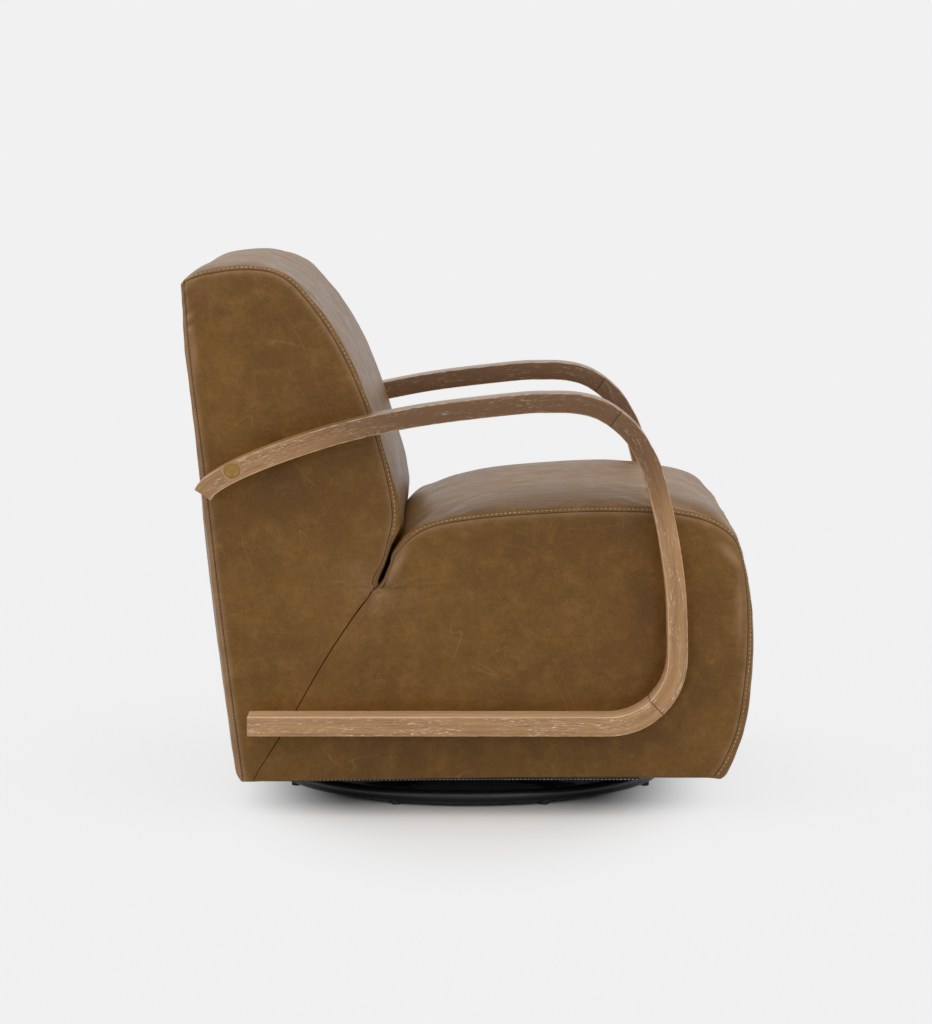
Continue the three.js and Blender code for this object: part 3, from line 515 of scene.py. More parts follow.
class Paint(Wiring):
    """A material's nodes, with short calls for the ones that the finishes share."""

    def __init__(self, name: str) -> None:
        """Makes an empty material with its shader."""
        self.material = bpy.data.materials.new(name)
        self.material.use_nodes = True
        super().__init__(self.material.node_tree)
        self.shader = self.nodes["Principled BSDF"]

    def surface(self) -> NodeSocket:
        """Returns the piece's own coordinates in metres."""
        return self.node("ShaderNodeTexCoord", {}).outputs["Object"]

    def attribute(self, name: str, output: str = "Fac") -> NodeSocket:
        """Returns a named attribute of the mesh."""
        return self.node("ShaderNodeAttribute", {}, attribute_name=name).outputs[output]

    def stretch(self, vector: NodeSocket, scale: tuple[float, float, float]) -> NodeSocket:
        """Scales a vector along its three axes."""
        made = self.node("ShaderNodeMapping", {"Vector": vector, "Scale": scale}, vector_type="POINT")
        return made.outputs["Vector"]

    def noise(
        self, vector: NodeSocket, scale: float, detail: float = 3.0, rough: float = 0.5, bend: float = 0.0
    ) -> NodeSocket:
        """Returns a cloudy pattern from 0 to 1."""
        inputs = {
            "Vector": vector, "Scale": scale, "Detail": detail, "Roughness": rough, "Distortion": bend,
        }
        return self.node("ShaderNodeTexNoise", inputs).outputs["Fac"]

    def cells(self, vector: NodeSocket, scale: float, feature: str = "F1") -> NodeSocket:
        """Returns the distance to the nearest cell centre or cell edge."""
        made = self.node("ShaderNodeTexVoronoi", {"Vector": vector, "Scale": scale}, feature=feature)
        return made.outputs["Distance"]

    def between(
        self, value: NodeSocket, low: float, high: float, start: float = 0.0, end: float = 1.0
    ) -> NodeSocket:
        """Maps a number from one range to another, held at the ends."""
        inputs = {"Value": value, "From Min": low, "From Max": high, "To Min": start, "To Max": end}
        return self.node("ShaderNodeMapRange", inputs, interpolation_type="SMOOTHSTEP").outputs["Result"]

    def mix(self, share: object, first: object, second: object) -> NodeSocket:
        """Mixes two colours."""
        made = self.node("ShaderNodeMix", {}, data_type="RGBA")
        self.feed(made.inputs[0], share)
        self.feed(made.inputs[6], first)
        self.feed(made.inputs[7], second)
        return made.outputs[2]

    def bump(
        self, height: NodeSocket, distance: float, below: NodeSocket | None = None
    ) -> NodeSocket:
        """Returns a surface direction roughened by a height pattern, distance metres deep."""
        inputs: dict[str | int, object] = {"Height": height, "Distance": distance, "Strength": 1.0}
        if below is not None:
            inputs["Normal"] = below
        return self.node("ShaderNodeBump", inputs).outputs["Normal"]

    def finish(self, colour: object, roughness: object, normal: object = None, **plain: object) -> None:
        """Feeds the shader.

        Args:
            colour: The base colour, a socket or four numbers.
            roughness: The roughness, a socket or a number.
            normal: The surface direction, or None.
            plain: Values of other shader inputs, with spaces as underscores.
        """
        self.feed(self.shader.inputs["Base Color"], colour)
        self.feed(self.shader.inputs["Roughness"], roughness)
        if normal is not None:
            self.feed(self.shader.inputs["Normal"], normal)
        for key, value in plain.items():
            self.feed(self.shader.inputs[key.replace("_", " ")], value)


def linear(red: int, green: int, blue: int) -> tuple[float, float, float, float]:
    """Turns a colour written from 0 to 255 into the shader's linear numbers."""
    parts = [c / 255 for c in (red, green, blue)]
    bent = [p / 12.92 if p <= 0.04045 else ((p + 0.055) / 1.055) ** 2.4 for p in parts]
    return (bent[0], bent[1], bent[2], 1.0)


@dataclass(frozen=True)
class LeatherFinish:
    """Waxed olive-tan leather: mottled colour, fine grain, stretch marks, light scratches, edges and folds
    lightened partly by wear and partly as painted highlight, and painted shade along the seams.
    """

    name: str = "olive_tan_leather"
    body: Colour = (112, 78, 31)
    shade: Colour = (90, 60, 23)
    glow: Colour = (130, 94, 44)
    # lighter tan that is partly wear and partly painted highlight, laid on rolled seam edges, the rear strip,
    # folds and swellings
    wear_and_highlight: Colour = (156, 122, 90)
    line: Colour = (158, 122, 70)
    # painted shade: the dark colour laid into the seam lines and deep in the notch's recess, where shade
    # falls
    seam: Colour = (40, 26, 12)
    roughness: float = 0.4

    def material(self) -> Material:
        """Builds the leather's nodes."""
        paint = Paint(self.name)
        place = paint.surface()
        skin = paint.attribute("skin", "Vector")
        clouds = paint.noise(place, 6.0, 4.0, 0.6, 0.4)
        blotches = paint.noise(place, 30.0, 5.0, 0.68, 0.3)
        mottle = paint.noise(place, 130.0, 4.0, 0.7, 0.5)
        speckle = paint.noise(place, 520.0, 3.0, 0.7)
        dull = paint.between(clouds, 0.34, 0.68, 0.0, 0.75)
        colour = paint.mix(dull, linear(*self.body), linear(*self.shade))
        colour = paint.mix(paint.between(blotches, 0.4, 0.76, 0.0, 0.7), colour, linear(*self.glow))
        colour = paint.mix(paint.between(mottle, 0.42, 0.7, 0.0, 0.5), colour, linear(*self.shade))
        colour = paint.mix(paint.between(speckle, 0.45, 0.75, 0.0, 0.55), colour, linear(*self.glow))
        colour = paint.mix(self.hairlines(paint, place), colour, linear(*self.line))
        # Lightening that is partly wear and partly painted highlight, broken up by the blotches.
        wear_and_highlight = paint.math("MULTIPLY", paint.attribute("wear_and_highlight"), paint.between(blotches, 0.3, 0.7, 0.6, 1.0))
        colour = paint.mix(wear_and_highlight, colour, linear(*self.wear_and_highlight))
        # Painted shade: darkens the hide along the seam lines and deep inside the notch, following the seam
        # attribute.
        sewn = paint.between(paint.attribute("seam"), 0.0001, 0.0009, 0.85, 0.0)
        colour = paint.mix(sewn, colour, linear(*self.seam))
        marks = paint.noise(paint.stretch(skin, (9.0, 150.0, 9.0)), 1.0, 3.0, 0.6, 0.6)
        marks = paint.math("MULTIPLY", marks, paint.attribute("stretch"))
        folds = paint.noise(paint.stretch(skin, (26.0, 60.0, 26.0)), 1.0, 3.0, 0.55, 0.8)
        soft = paint.bump(folds, 0.0010)
        soft = paint.bump(marks, 0.0009, soft)
        pebbles = paint.cells(place, 900.0)
        pores = paint.noise(place, 1500.0, 2.0, 0.6)
        fine = paint.bump(pebbles, 0.00007, paint.bump(pores, 0.00005, soft))
        gloss = paint.between(blotches, 0.3, 0.7, self.roughness - 0.05, self.roughness + 0.07)
        paint.finish(colour, gloss, fine, Specular_IOR_Level=0.2)
        return paint.material

    def hairlines(self, paint: Paint, place: NodeSocket) -> NodeSocket:
        """Adds sparse, long, light scratches, from noise that is drawn out in four directions.

        Args:
            paint: The leather's nodes.
            place: The piece's own coordinates.

        Returns:
            The scratches' share of the colour.
        """
        found = None
        for turn, spots in ((0.7, 11.0), (-0.5, 14.0), (1.35, 9.0), (-1.2, 17.0)):
            settings = {"Vector": place, "Rotation": (turn, 0.0, 0.0), "Scale": (0.1, 0.055, 0.4)}
            lie = paint.node("ShaderNodeMapping", settings, vector_type="TEXTURE").outputs["Vector"]
            wave = paint.noise(lie, 1.0, 1.0, 0.4, 0.2)
            away = paint.math("ABSOLUTE", paint.math("SUBTRACT", wave, 0.5))
            line = paint.between(away, 0.001, 0.0035, 1.0, 0.0)
            strength = paint.between(paint.noise(place, spots, 2.0), 0.5, 0.64, 0.0, 0.24)
            line = paint.math("MULTIPLY", line, strength)
            found = line if found is None else paint.math("MAXIMUM", found, line)
        return found


@dataclass(frozen=True)
class OakFinish:
    """Washed oak: brown with grain along the bend, pale filled pores, long edges lightened partly as rubbed
    wear and partly as painted highlight, and painted highlight on the faces turned into the loop.
    """

    half_width: float
    half_thickness: float
    name: str = "washed_oak"
    body: Colour = (172, 130, 86)
    # painted highlight: the lighter colour of the faces turned into the loop, such as the rail's top
    painted_light_inside: Colour = (224, 182, 138)
    dim: Colour = (108, 74, 42)
    dark: Colour = (92, 62, 38)
    pore: Colour = (216, 198, 172)
    # lighter colour of the long edges: partly rubbed wear, partly painted highlight
    edge: Colour = (222, 184, 140)
    joint: Colour = (52, 36, 26)
    rim: float = 0.0016
    rim_end: float = 0.0007

    def material(self) -> Material:
        """Builds the oak's nodes."""
        paint = Paint(self.name)
        grain = paint.attribute("grain", "Vector")
        shaded = paint.attribute("shaded")
        broad = paint.noise(paint.stretch(grain, (5.0, 110.0, 110.0)), 1.0, 4.0, 0.6, 0.5)
        fine = paint.noise(paint.stretch(grain, (30.0, 650.0, 650.0)), 1.0, 3.0, 0.65, 0.2)
        section = paint.node("ShaderNodeSeparateXYZ", {"Vector": grain}).outputs
        # Painted highlight: faces turned into the loop, such as the rail's top, are lightened as if lit.
        painted_light_facing_in = paint.between(section["Z"], self.half_thickness - 0.0014, self.half_thickness - 0.0004)
        colour = paint.mix(painted_light_facing_in, linear(*self.body), linear(*self.painted_light_inside))
        colour = paint.mix(shaded, colour, linear(*self.dim))
        colour = paint.mix(paint.between(broad, 0.36, 0.7, 0.0, 0.4), colour, linear(*self.dark))
        colour = paint.mix(paint.between(fine, 0.48, 0.8, 0.0, 0.5), colour, linear(*self.dark))
        flecks = paint.noise(paint.stretch(grain, (120.0, 1150.0, 1150.0)), 1.0, 3.0, 0.62, 0.25)
        patches = paint.noise(paint.stretch(grain, (16.0, 110.0, 110.0)), 1.0, 3.0, 0.65)
        strength = paint.between(patches, 0.42, 0.62, 0.05, 0.95)
        limed = paint.math("MULTIPLY", paint.between(flecks, 0.56, 0.63), strength)
        limed = paint.math("MULTIPLY", limed, paint.between(shaded, 0.0, 1.0, 0.9, 0.34))
        colour = paint.mix(limed, colour, linear(*self.pore))
        # Long edges lightened: partly rubbed wear, partly painted highlight.
        colour = paint.mix(self.edges(paint, grain, section), colour, linear(*self.edge))
        glued = paint.between(paint.attribute("joint"), 0.0, 0.0012, 0.75, 0.0)
        colour = paint.mix(glued, colour, linear(*self.joint))
        ridges = paint.bump(fine, 0.0003, paint.bump(flecks, 0.00025))
        paint.finish(colour, paint.between(broad, 0.3, 0.7, 0.3, 0.42), ridges, Specular_IOR_Level=0.4)
        return paint.material

    def edges(
        self, paint: Paint, grain: NodeSocket, section: bpy_prop_collection
    ) -> NodeSocket:
        """Finds the long edges of the bar, lightened partly as rubbed wear and partly as painted highlight.

        Args:
            paint: The oak's nodes.
            grain: The place in the bar before it was bent.
            section: The same place, taken apart.

        Returns:
            The edges' share of the lighter colour, wear and painted highlight together.
        """
        share = None
        for name, half in (("Y", self.half_width), ("Z", self.half_thickness)):
            near = paint.between(paint.math("ABSOLUTE", section[name]), half - self.rim, half - self.rim_end)
            share = near if share is None else paint.math("MULTIPLY", share, near)
        patchy = paint.noise(paint.stretch(grain, (60.0, 300.0, 300.0)), 1.0, 2.0)
        return paint.math("MULTIPLY", share, paint.between(patchy, 0.4, 0.6, 0.1, 0.6))


@dataclass(frozen=True)
class MetalFinish:
    """A metal or painted metal, with fine unevenness and light scratches."""

    name: str
    colour: Colour
    roughness: float
    metallic: float
    grain: float = 900.0
    depth: float = 0.00003
    wear: Colour | None = None

    def material(self) -> Material:
        """Builds the metal's nodes."""
        paint = Paint(self.name)
        place = paint.surface()
        clouds = paint.noise(place, 40.0, 3.0, 0.6)
        fine = paint.noise(place, self.grain, 2.0, 0.6)
        other = linear(*(self.wear or tuple(max(0, c - 12) for c in self.colour)))
        colour = paint.mix(paint.between(clouds, 0.4, 0.75, 0.0, 0.7), linear(*self.colour), other)
        gloss = paint.between(clouds, 0.3, 0.7, self.roughness - 0.05, self.roughness + 0.08)
        paint.finish(colour, gloss, paint.bump(fine, self.depth), Metallic=self.metallic)
        return paint.material


@dataclass(frozen=True)
class PlyFinish:
    """Birch plywood: thin layers through the board's thickness and long face grain."""

    name: str = "frame_plywood"
    face: Colour = (196, 164, 118)
    glue: Colour = (132, 96, 60)
    layer: float = 0.0044

    def material(self) -> Material:
        """Builds the plywood's nodes."""
        paint = Paint(self.name)
        place = paint.surface()
        parts = paint.node("ShaderNodeSeparateXYZ", {"Vector": place}).outputs
        steps = paint.math("FRACT", paint.math("DIVIDE", parts["X"], self.layer))
        layers = paint.between(steps, 0.42, 0.5, 0.0, 0.35)
        grain = paint.noise(paint.stretch(place, (220.0, 6.0, 220.0)), 1.0, 3.0, 0.6, 0.4)
        colour = paint.mix(layers, linear(*self.face), linear(*self.glue))
        colour = paint.mix(paint.between(grain, 0.45, 0.75, 0.0, 0.5), colour, linear(*self.glue))
        paint.finish(colour, 0.7, paint.bump(grain, 0.0002))
        return paint.material


@dataclass(frozen=True)
class ClothFinish:
    """Plain woven or felted cloth, such as the black dust cover and the liner over the foam."""

    name: str
    colour: Colour
    thread: float = 700.0
    roughness: float = 0.92

    def material(self) -> Material:
        """Builds the cloth's nodes."""
        paint = Paint(self.name)
        place = paint.surface()
        parts = paint.node("ShaderNodeSeparateXYZ", {"Vector": place}).outputs
        waves = [paint.math("SINE", paint.math("MULTIPLY", parts[axis], self.thread * 3)) for axis in "XY"]
        weave = paint.math("MULTIPLY", *(paint.math("ABSOLUTE", wave) for wave in waves))
        lint = paint.noise(place, self.thread / 2, 3.0, 0.7)
        paler = tuple(min(255, c + 26) for c in self.colour)
        colour = paint.mix(paint.between(lint, 0.35, 0.8), linear(*self.colour), linear(*paler))
        paint.finish(colour, self.roughness, paint.bump(weave, 0.0002), Sheen_Weight=0.2)
        return paint.material


@dataclass(frozen=True)
class PlasticFinish:
    """Moulded nylon or rubber with a fine matt skin and a little change of tone."""

    name: str
    colour: Colour
    roughness: float = 0.5
    grain: float = 1200.0
    patches: float = 70.0
    darkest: float = 0.85
    depth: float = 0.00003

    def material(self) -> Material:
        """Builds the finish's nodes."""
        paint = Paint(self.name)
        place = paint.surface()
        skin = paint.noise(place, self.grain, 2.0, 0.6)
        tone = paint.noise(place, self.patches, 2.0, 0.5)
        darker = tuple(int(c * self.darkest) for c in self.colour)
        colour = paint.mix(paint.between(tone, 0.35, 0.7), linear(*self.colour), linear(*darker))
        paint.finish(colour, self.roughness, paint.bump(skin, self.depth))
        return paint.material


@dataclass(frozen=True)
class ThreadFinish(PlasticFinish):
    """Sewing thread: a waxed twist with a little colour change along it."""

    roughness: float = 0.6
    grain: float = 1400.0
    patches: float = 60.0
    darkest: float = 0.72
    depth: float = 0.0001


def made_of(kind: Callable[..., object], *values: object) -> Material:
    """Returns a field that holds a finish's material, built when the finishes are made."""
    return field(default_factory=lambda: kind(*values).material())


@dataclass
class Finishes:
    """Every material of the chair, made once."""

    leather: Material = made_of(LeatherFinish)
    oak: Material = field(
        default_factory=lambda: OakFinish(ArmSizes.width / 2, ArmSizes.thickness / 2).material()
    )
    plywood: Material = made_of(PlyFinish)
    black: Material = made_of(
        MetalFinish, "black_painted_steel", (24, 24, 25), 0.33, 0.35, 1500.0, 0.00002
    )
    zinc: Material = made_of(MetalFinish, "zinc_plated_steel", (158, 160, 162), 0.34, 0.95)
    spring: Material = made_of(MetalFinish, "oiled_spring_steel", (62, 64, 67), 0.38, 0.9)
    brass: Material = made_of(
        MetalFinish, "aged_brass", (158, 122, 70), 0.36, 0.9, 700.0, 0.00003, (122, 90, 46)
    )
    nylon: Material = made_of(PlasticFinish, "white_nylon", (226, 223, 214))
    rubber: Material = made_of(PlasticFinish, "black_glide", (26, 26, 27), 0.55)
    cover: Material = made_of(ClothFinish, "black_dust_cloth", (24, 24, 25))
    liner: Material = made_of(ClothFinish, "foam_liner", (214, 208, 194), 500.0)
    gold_thread: Material = made_of(ThreadFinish, "gold_thread", (210, 180, 126))
    dark_thread: Material = made_of(ThreadFinish, "dark_thread", (58, 42, 24))
    pale_thread: Material = made_of(ThreadFinish, "pale_thread", (196, 204, 202))


# Leather body


@dataclass
class Stretch:
    """One run of a shell's outline: its side seam and, beside it, the crowned line in the middle."""

    seam: np.ndarray
    crown: np.ndarray

    def sample(self, shares: np.ndarray) -> tuple[np.ndarray, np.ndarray]:
        """Returns the seam's and the crown's points at shares of the seam's length."""
        along = lengths(self.seam)
        along = along / along[-1]
        return points_along(self.seam, along, shares), points_along(self.crown, along, shares)

    def then(self, other: "Stretch") -> "Stretch":
        """Joins another run onto the end of this one."""
        return Stretch(np.vstack((self.seam, other.seam[1:])), np.vstack((self.crown, other.crown[1:])))

    def back(self) -> "Stretch":
        """Returns the same run, walked the other way."""
        return Stretch(self.seam[::-1], self.crown[::-1])


@dataclass(frozen=True)
class Weave:
    """How finely a shell's skin is divided."""

    across: int
    up: int
    span_across_mm: float
    span_up_mm: float
    focus: float = 0.5
    border_mm: tuple[float, ...] = (0.0, 0.5, 1.4, 3.0, 6.0, 11.0)
    inset_mm: tuple[float, ...] = (
        0.0, 0.15, 0.5, 1.1, 2.0, 3.2, 4.8, 7.0, 10.0, 14.0, 20.0, 28.0, 38.0, 50.0,
    )
    middle: int = 22

    def shares(self, count: int, span_mm: float, crowd: float = 0.0) -> np.ndarray:
        """Returns shares from 0 to 1 that crowd near both ends and, where asked, near the focus.

        Args:
            count: How many steps the run has.
            span_mm: About how long the run is.
            crowd: How many times closer the steps lie at the focus, less one.

        Returns:
            The shares, in order.
        """
        edge = np.array(self.border_mm) / span_mm
        even = np.linspace(0, 1, 400)
        density = 1 + crowd * np.exp(-(((even - self.focus) / 0.07) ** 2))
        filled = np.concatenate(([0.0], np.cumsum((density[1:] + density[:-1]) / 2)))
        places = np.interp(np.linspace(0, 1, count - 2 * (len(edge) - 1) + 1), filled / filled[-1], even)
        inner = edge[-1] + places * (1 - 2 * edge[-1])
        return np.concatenate((edge[:-1], inner, (1 - edge[:-1])[::-1]))

    def stations(self, half: float) -> np.ndarray:
        """Returns places across the width, from the right seam to the left one."""
        inset = np.array(self.inset_mm) / 1000
        inner = np.linspace(0, half - inset[-1], self.middle)
        right = np.concatenate((inner, half - inset[::-1][1:]))
        return np.concatenate((-right[::-1], right[1:]))


@dataclass(frozen=True)
class Fold:
    """A fan of small folds round one point of a side panel."""

    fore: float
    height: float
    depth: float
    reach: float
    waves: float
    turn: float

    def relief(self, fore: np.ndarray, height: np.ndarray) -> np.ndarray:
        """Returns the fan's height at places on the panel."""
        dx = fore - self.fore
        dz = height - self.height
        radius = np.hypot(dx, dz)
        angle = np.arctan2(dz, dx)
        ripple = np.cos(self.waves * angle + self.turn)
        ripple = ripple + 0.45 * np.cos(self.waves * 1.7 * angle + 2.1 * self.turn)
        fade = np.exp(-radius / self.reach) * (1 - np.exp(-radius / (self.reach * 0.22)))
        return self.depth * ripple * fade


@dataclass(frozen=True)
class Blister:
    """A soft swelling of the hide, longer than it is wide."""

    fore: float
    height: float
    wide: float
    tall: float
    lift: float
    lean: float = 0.0
    # how much the swelling lightens the hide: partly wear, partly painted highlight on its ridge
    wear_and_highlight_share: float = 0.0

    def share(self, fore: np.ndarray, height: np.ndarray) -> np.ndarray:
        """Returns 1 at the swelling's middle, falling to 0 round it."""
        dx, dz = fore - self.fore, height - self.height
        across = dx * math.cos(self.lean) + dz * math.sin(self.lean)
        along = dz * math.cos(self.lean) - dx * math.sin(self.lean)
        return np.exp(-((across / self.wide) ** 2) - (along / self.tall) ** 2)

    def relief(self, fore: np.ndarray, height: np.ndarray) -> np.ndarray:
        """Returns the swelling's height at places on the panel."""
        return self.lift * self.share(fore, height)


@dataclass(frozen=True)
class Padding:
    """How the hide is stretched over its padding, and how far from a seam it stays sewn down."""

    frames: int = 20
    quality: int = 6
    mass: float = 0.4
    tension: float = 60.0
    shear: float = 30.0
    bending: float = 4.0
    pressure: float = 4.0
    band_cap: float = 0.006
    panel_cap: float = 0.0022
    seam_hold: float = 0.009
    slant_hold: float = 0.012
    hem_hold: float = 0.006
    notch_hold: float = 0.06


@dataclass
class LeatherShell:
    """One leather cushion: two side panels and the band that wraps between them."""

    name: str
    node: str
    sizes: BodySizes
    left: Stretch
    top: Stretch
    right: Stretch
    bottom: Stretch
    weave: Weave
    outer_seam: np.ndarray
    plain_seam: np.ndarray
    cross_seams: Table
    shoulders: Table
    hem_drops: Table
    folds: tuple[Fold, ...]
    blisters: tuple[Blister, ...]
    slot_span: tuple[float, float]
    seed: int
    obj: Object | None = None
    rows: int = 0
    columns: np.ndarray = field(default_factory=lambda: np.zeros(0))
    loop_seam: np.ndarray = field(default_factory=lambda: np.zeros((0, 2)))
    loop_crown: np.ndarray = field(default_factory=lambda: np.zeros((0, 2)))
    loop_shoulder: np.ndarray = field(default_factory=lambda: np.zeros((0, 2)))
    loop_slot: np.ndarray = field(default_factory=lambda: np.zeros(0))
    shoulder_depth: float = 0.005
    shoulder_fade: float = 0.035
    padding: Padding = Padding()
    puckers: Table = (
        (0.031, 0.00045), (0.047, 0.0006), (0.083, 0.0008), (0.019, 0.00025),
    )
    sags: Table = (
        (0.0009, 7.0, 11.0), (0.0006, 13.0, 26.0), (0.0004, 21.0, 61.0),
    )

    def build(self) -> Object:
        """Makes the closed skin, with its attributes, before any padding."""
        u = self.weave.shares(self.weave.across, self.weave.span_across_mm)
        v = self.weave.shares(self.weave.up, self.weave.span_up_mm, 3.0)
        self.close_loop(u, v)
        self.columns = self.weave.stations(self.sizes.seam)
        self.rows = len(self.loop_seam)
        points = [self.ring(x) for x in self.columns]
        panel, inner = self.panel_grid(u, v)
        faces = self.band_faces()
        for column, sign in ((len(self.columns) - 1, 1.0), (0, -1.0)):
            offset = sum(len(p) for p in points)
            points.append(self.panel_points(inner, sign))
            faces.extend(self.panel_faces(panel, column, offset))
        skin = np.vstack(points)
        drop = np.interp(-skin[:, 1], *zip(*self.hem_drops))
        skin[:, 2] -= drop * (1 - smooth_step(0.0, 0.014, skin[:, 2] - self.sizes.hem_height))
        self.obj = mesh_object(self.name, skin, faces)
        tidy_normals(self.obj, 0.0)
        return self.obj

    def close_loop(self, u: np.ndarray, v: np.ndarray) -> None:
        """Samples the four runs into one closed outline.

        Args:
            u: The shares at which the top and bottom runs are divided.
            v: The shares at which the left and right runs are divided.
        """
        runs = (
            self.left.sample(v), self.top.sample(u), self.right.sample(v[::-1]), self.bottom.sample(u[::-1]),
        )
        self.loop_seam = np.vstack([seam[:-1] for seam, _ in runs])
        self.loop_crown = np.vstack([crown[:-1] for _, crown in runs])
        anchors = np.array(self.shoulders)
        away = np.linalg.norm(self.loop_seam[:, None, :] - anchors[None, :, :2], axis=2)
        near = 1 / (away**3 + 1e-7)
        lift = (near * anchors[None, :, 2]).sum(axis=1) / near.sum(axis=1)
        for _ in range(4):
            lift = (np.roll(lift, 1) + lift + np.roll(lift, -1)) / 3
        lift *= smooth_step(0.0002, 0.002, distance_to_line(self.loop_seam, self.plain_seam))
        lift *= smooth_step(-0.002, 0.011, self.loop_seam[:, 1] - self.sizes.hem_height)
        self.loop_shoulder = self.outward() * lift[:, None]
        near_notch = np.linalg.norm(self.loop_seam - self.sizes.notch, axis=1) < self.sizes.slot_reach
        self.loop_slot = near_notch * (1 - smooth_step(*self.slot_span, self.loop_seam[:, 1]))

    def outward(self) -> np.ndarray:
        """Returns the directions that point out of the outline, in the side view."""
        line = self.loop_seam
        tangent = np.roll(line, -3, axis=0) - np.roll(line, 3, axis=0)
        out = np.stack((tangent[:, 1], -tangent[:, 0]), axis=1)
        out /= np.maximum(np.linalg.norm(out, axis=1), 1e-9)[:, None]
        area = np.sum(line[:, 0] * np.roll(line[:, 1], -1) - np.roll(line[:, 0], -1) * line[:, 1])
        return out * np.sign(area)

    def ring(self, x: float) -> np.ndarray:
        """Returns the outline's points at a place across the width, with the shoulders by the seams.

        Args:
            x: The place across the width, from the middle.

        Returns:
            One point for each row of the outline.
        """
        share = min(1.0, abs(x) / self.sizes.seam)
        roll = math.sqrt(max(0.0, 1 - share**self.sizes.crown_power))
        inset = (self.sizes.seam - abs(x)) / self.shoulder_depth
        rise = math.sqrt(max(0.0, 1 - (1 - min(1.0, inset)) ** 2))
        fade = math.exp(-max(0.0, inset - 1) * self.shoulder_depth / self.shoulder_fade)
        deep = float(smooth_step(0.012, 0.080, np.array(self.sizes.seam - abs(x))))
        roll = (roll * (1 - self.loop_slot) + deep * self.loop_slot)[:, None]
        line = self.loop_seam * (1 - roll) + self.loop_crown * roll + self.loop_shoulder * rise * fade
        return np.stack((np.full(len(line), x), -line[:, 0], line[:, 1]), axis=1)

    def band_faces(self) -> list[tuple[int, ...]]:
        """Returns the band's four-sided faces."""
        n = self.rows
        faces = []
        for c in range(len(self.columns) - 1):
            for k in range(n):
                after = (k + 1) % n
                faces.append((c * n + k, c * n + after, (c + 1) * n + after, (c + 1) * n + k))
        return faces

    def panel_grid(self, u: np.ndarray, v: np.ndarray) -> tuple[np.ndarray, np.ndarray]:
        """Fills the side outline with a grid.

        Args:
            u: The shares at which the grid is divided from the rear to the front.
            v: The shares at which it is divided from the hem up.

        Returns:
            The grid of point numbers, where a number below rows is on the seam, and the inner points.
        """
        nu, nv = len(u) - 1, len(v) - 1
        n = 2 * (nu + nv)
        index = np.zeros((nu + 1, nv + 1), int)
        index[0, :] = np.arange(nv + 1)
        index[:, nv] = nv + np.arange(nu + 1)
        index[nu, :] = nv + nu + nv - np.arange(nv + 1)
        index[:, 0] = (2 * nv + 2 * nu - np.arange(nu + 1)) % n
        seam = self.loop_seam
        edge = {
            "l": seam[index[0, :]], "t": seam[index[:, nv]], "r": seam[index[nu, :]], "b": seam[index[:, 0]],
        }
        inner = []
        count = 0
        for i in range(1, nu):
            for j in range(1, nv):
                a, b = u[i], v[j]
                sides = (1 - b) * edge["b"][i] + b * edge["t"][i] + (1 - a) * edge["l"][j] + a * edge["r"][j]
                corners = (
                    (1 - a) * (1 - b) * edge["b"][0] + a * (1 - b) * edge["b"][-1]
                    + (1 - a) * b * edge["t"][0] + a * b * edge["t"][-1]
                )
                inner.append(sides - corners)
                index[i, j] = n + count
                count += 1
        return index, np.array(inner)

    def panel_points(self, inner: np.ndarray, sign: float) -> np.ndarray:
        """Places a side panel's inner points, swollen a little past its seams.

        Args:
            inner: The points as (fore, height).
            sign: 1 for the left panel and -1 for the right one.

        Returns:
            The points as x, y, z.
        """
        far = distance_to_line(inner, self.outer_seam)
        plain = distance_to_line(inner, self.plain_seam)
        swell = self.sizes.pillow * (1 - np.exp(-far / 0.009))
        crease = 0.0001 * np.exp(-((plain / 0.001) ** 2)) + 0.0004 * np.exp(-plain / 0.012)
        x = self.sizes.seam + swell - np.minimum(crease, swell)
        return np.stack((sign * x, -inner[:, 0], inner[:, 1]), axis=1)

    def panel_faces(self, index: np.ndarray, column: int, offset: int) -> list[tuple[int, ...]]:
        """Returns a side panel's faces, joined to the band at one column."""
        n = self.rows
        number = np.where(index < n, column * n + index, offset + index - n)
        faces = []
        for i in range(index.shape[0] - 1):
            for j in range(index.shape[1] - 1):
                corners = (number[i, j], number[i + 1, j], number[i + 1, j + 1], number[i, j + 1])
                faces.append(tuple(int(c) for c in corners))
        return faces

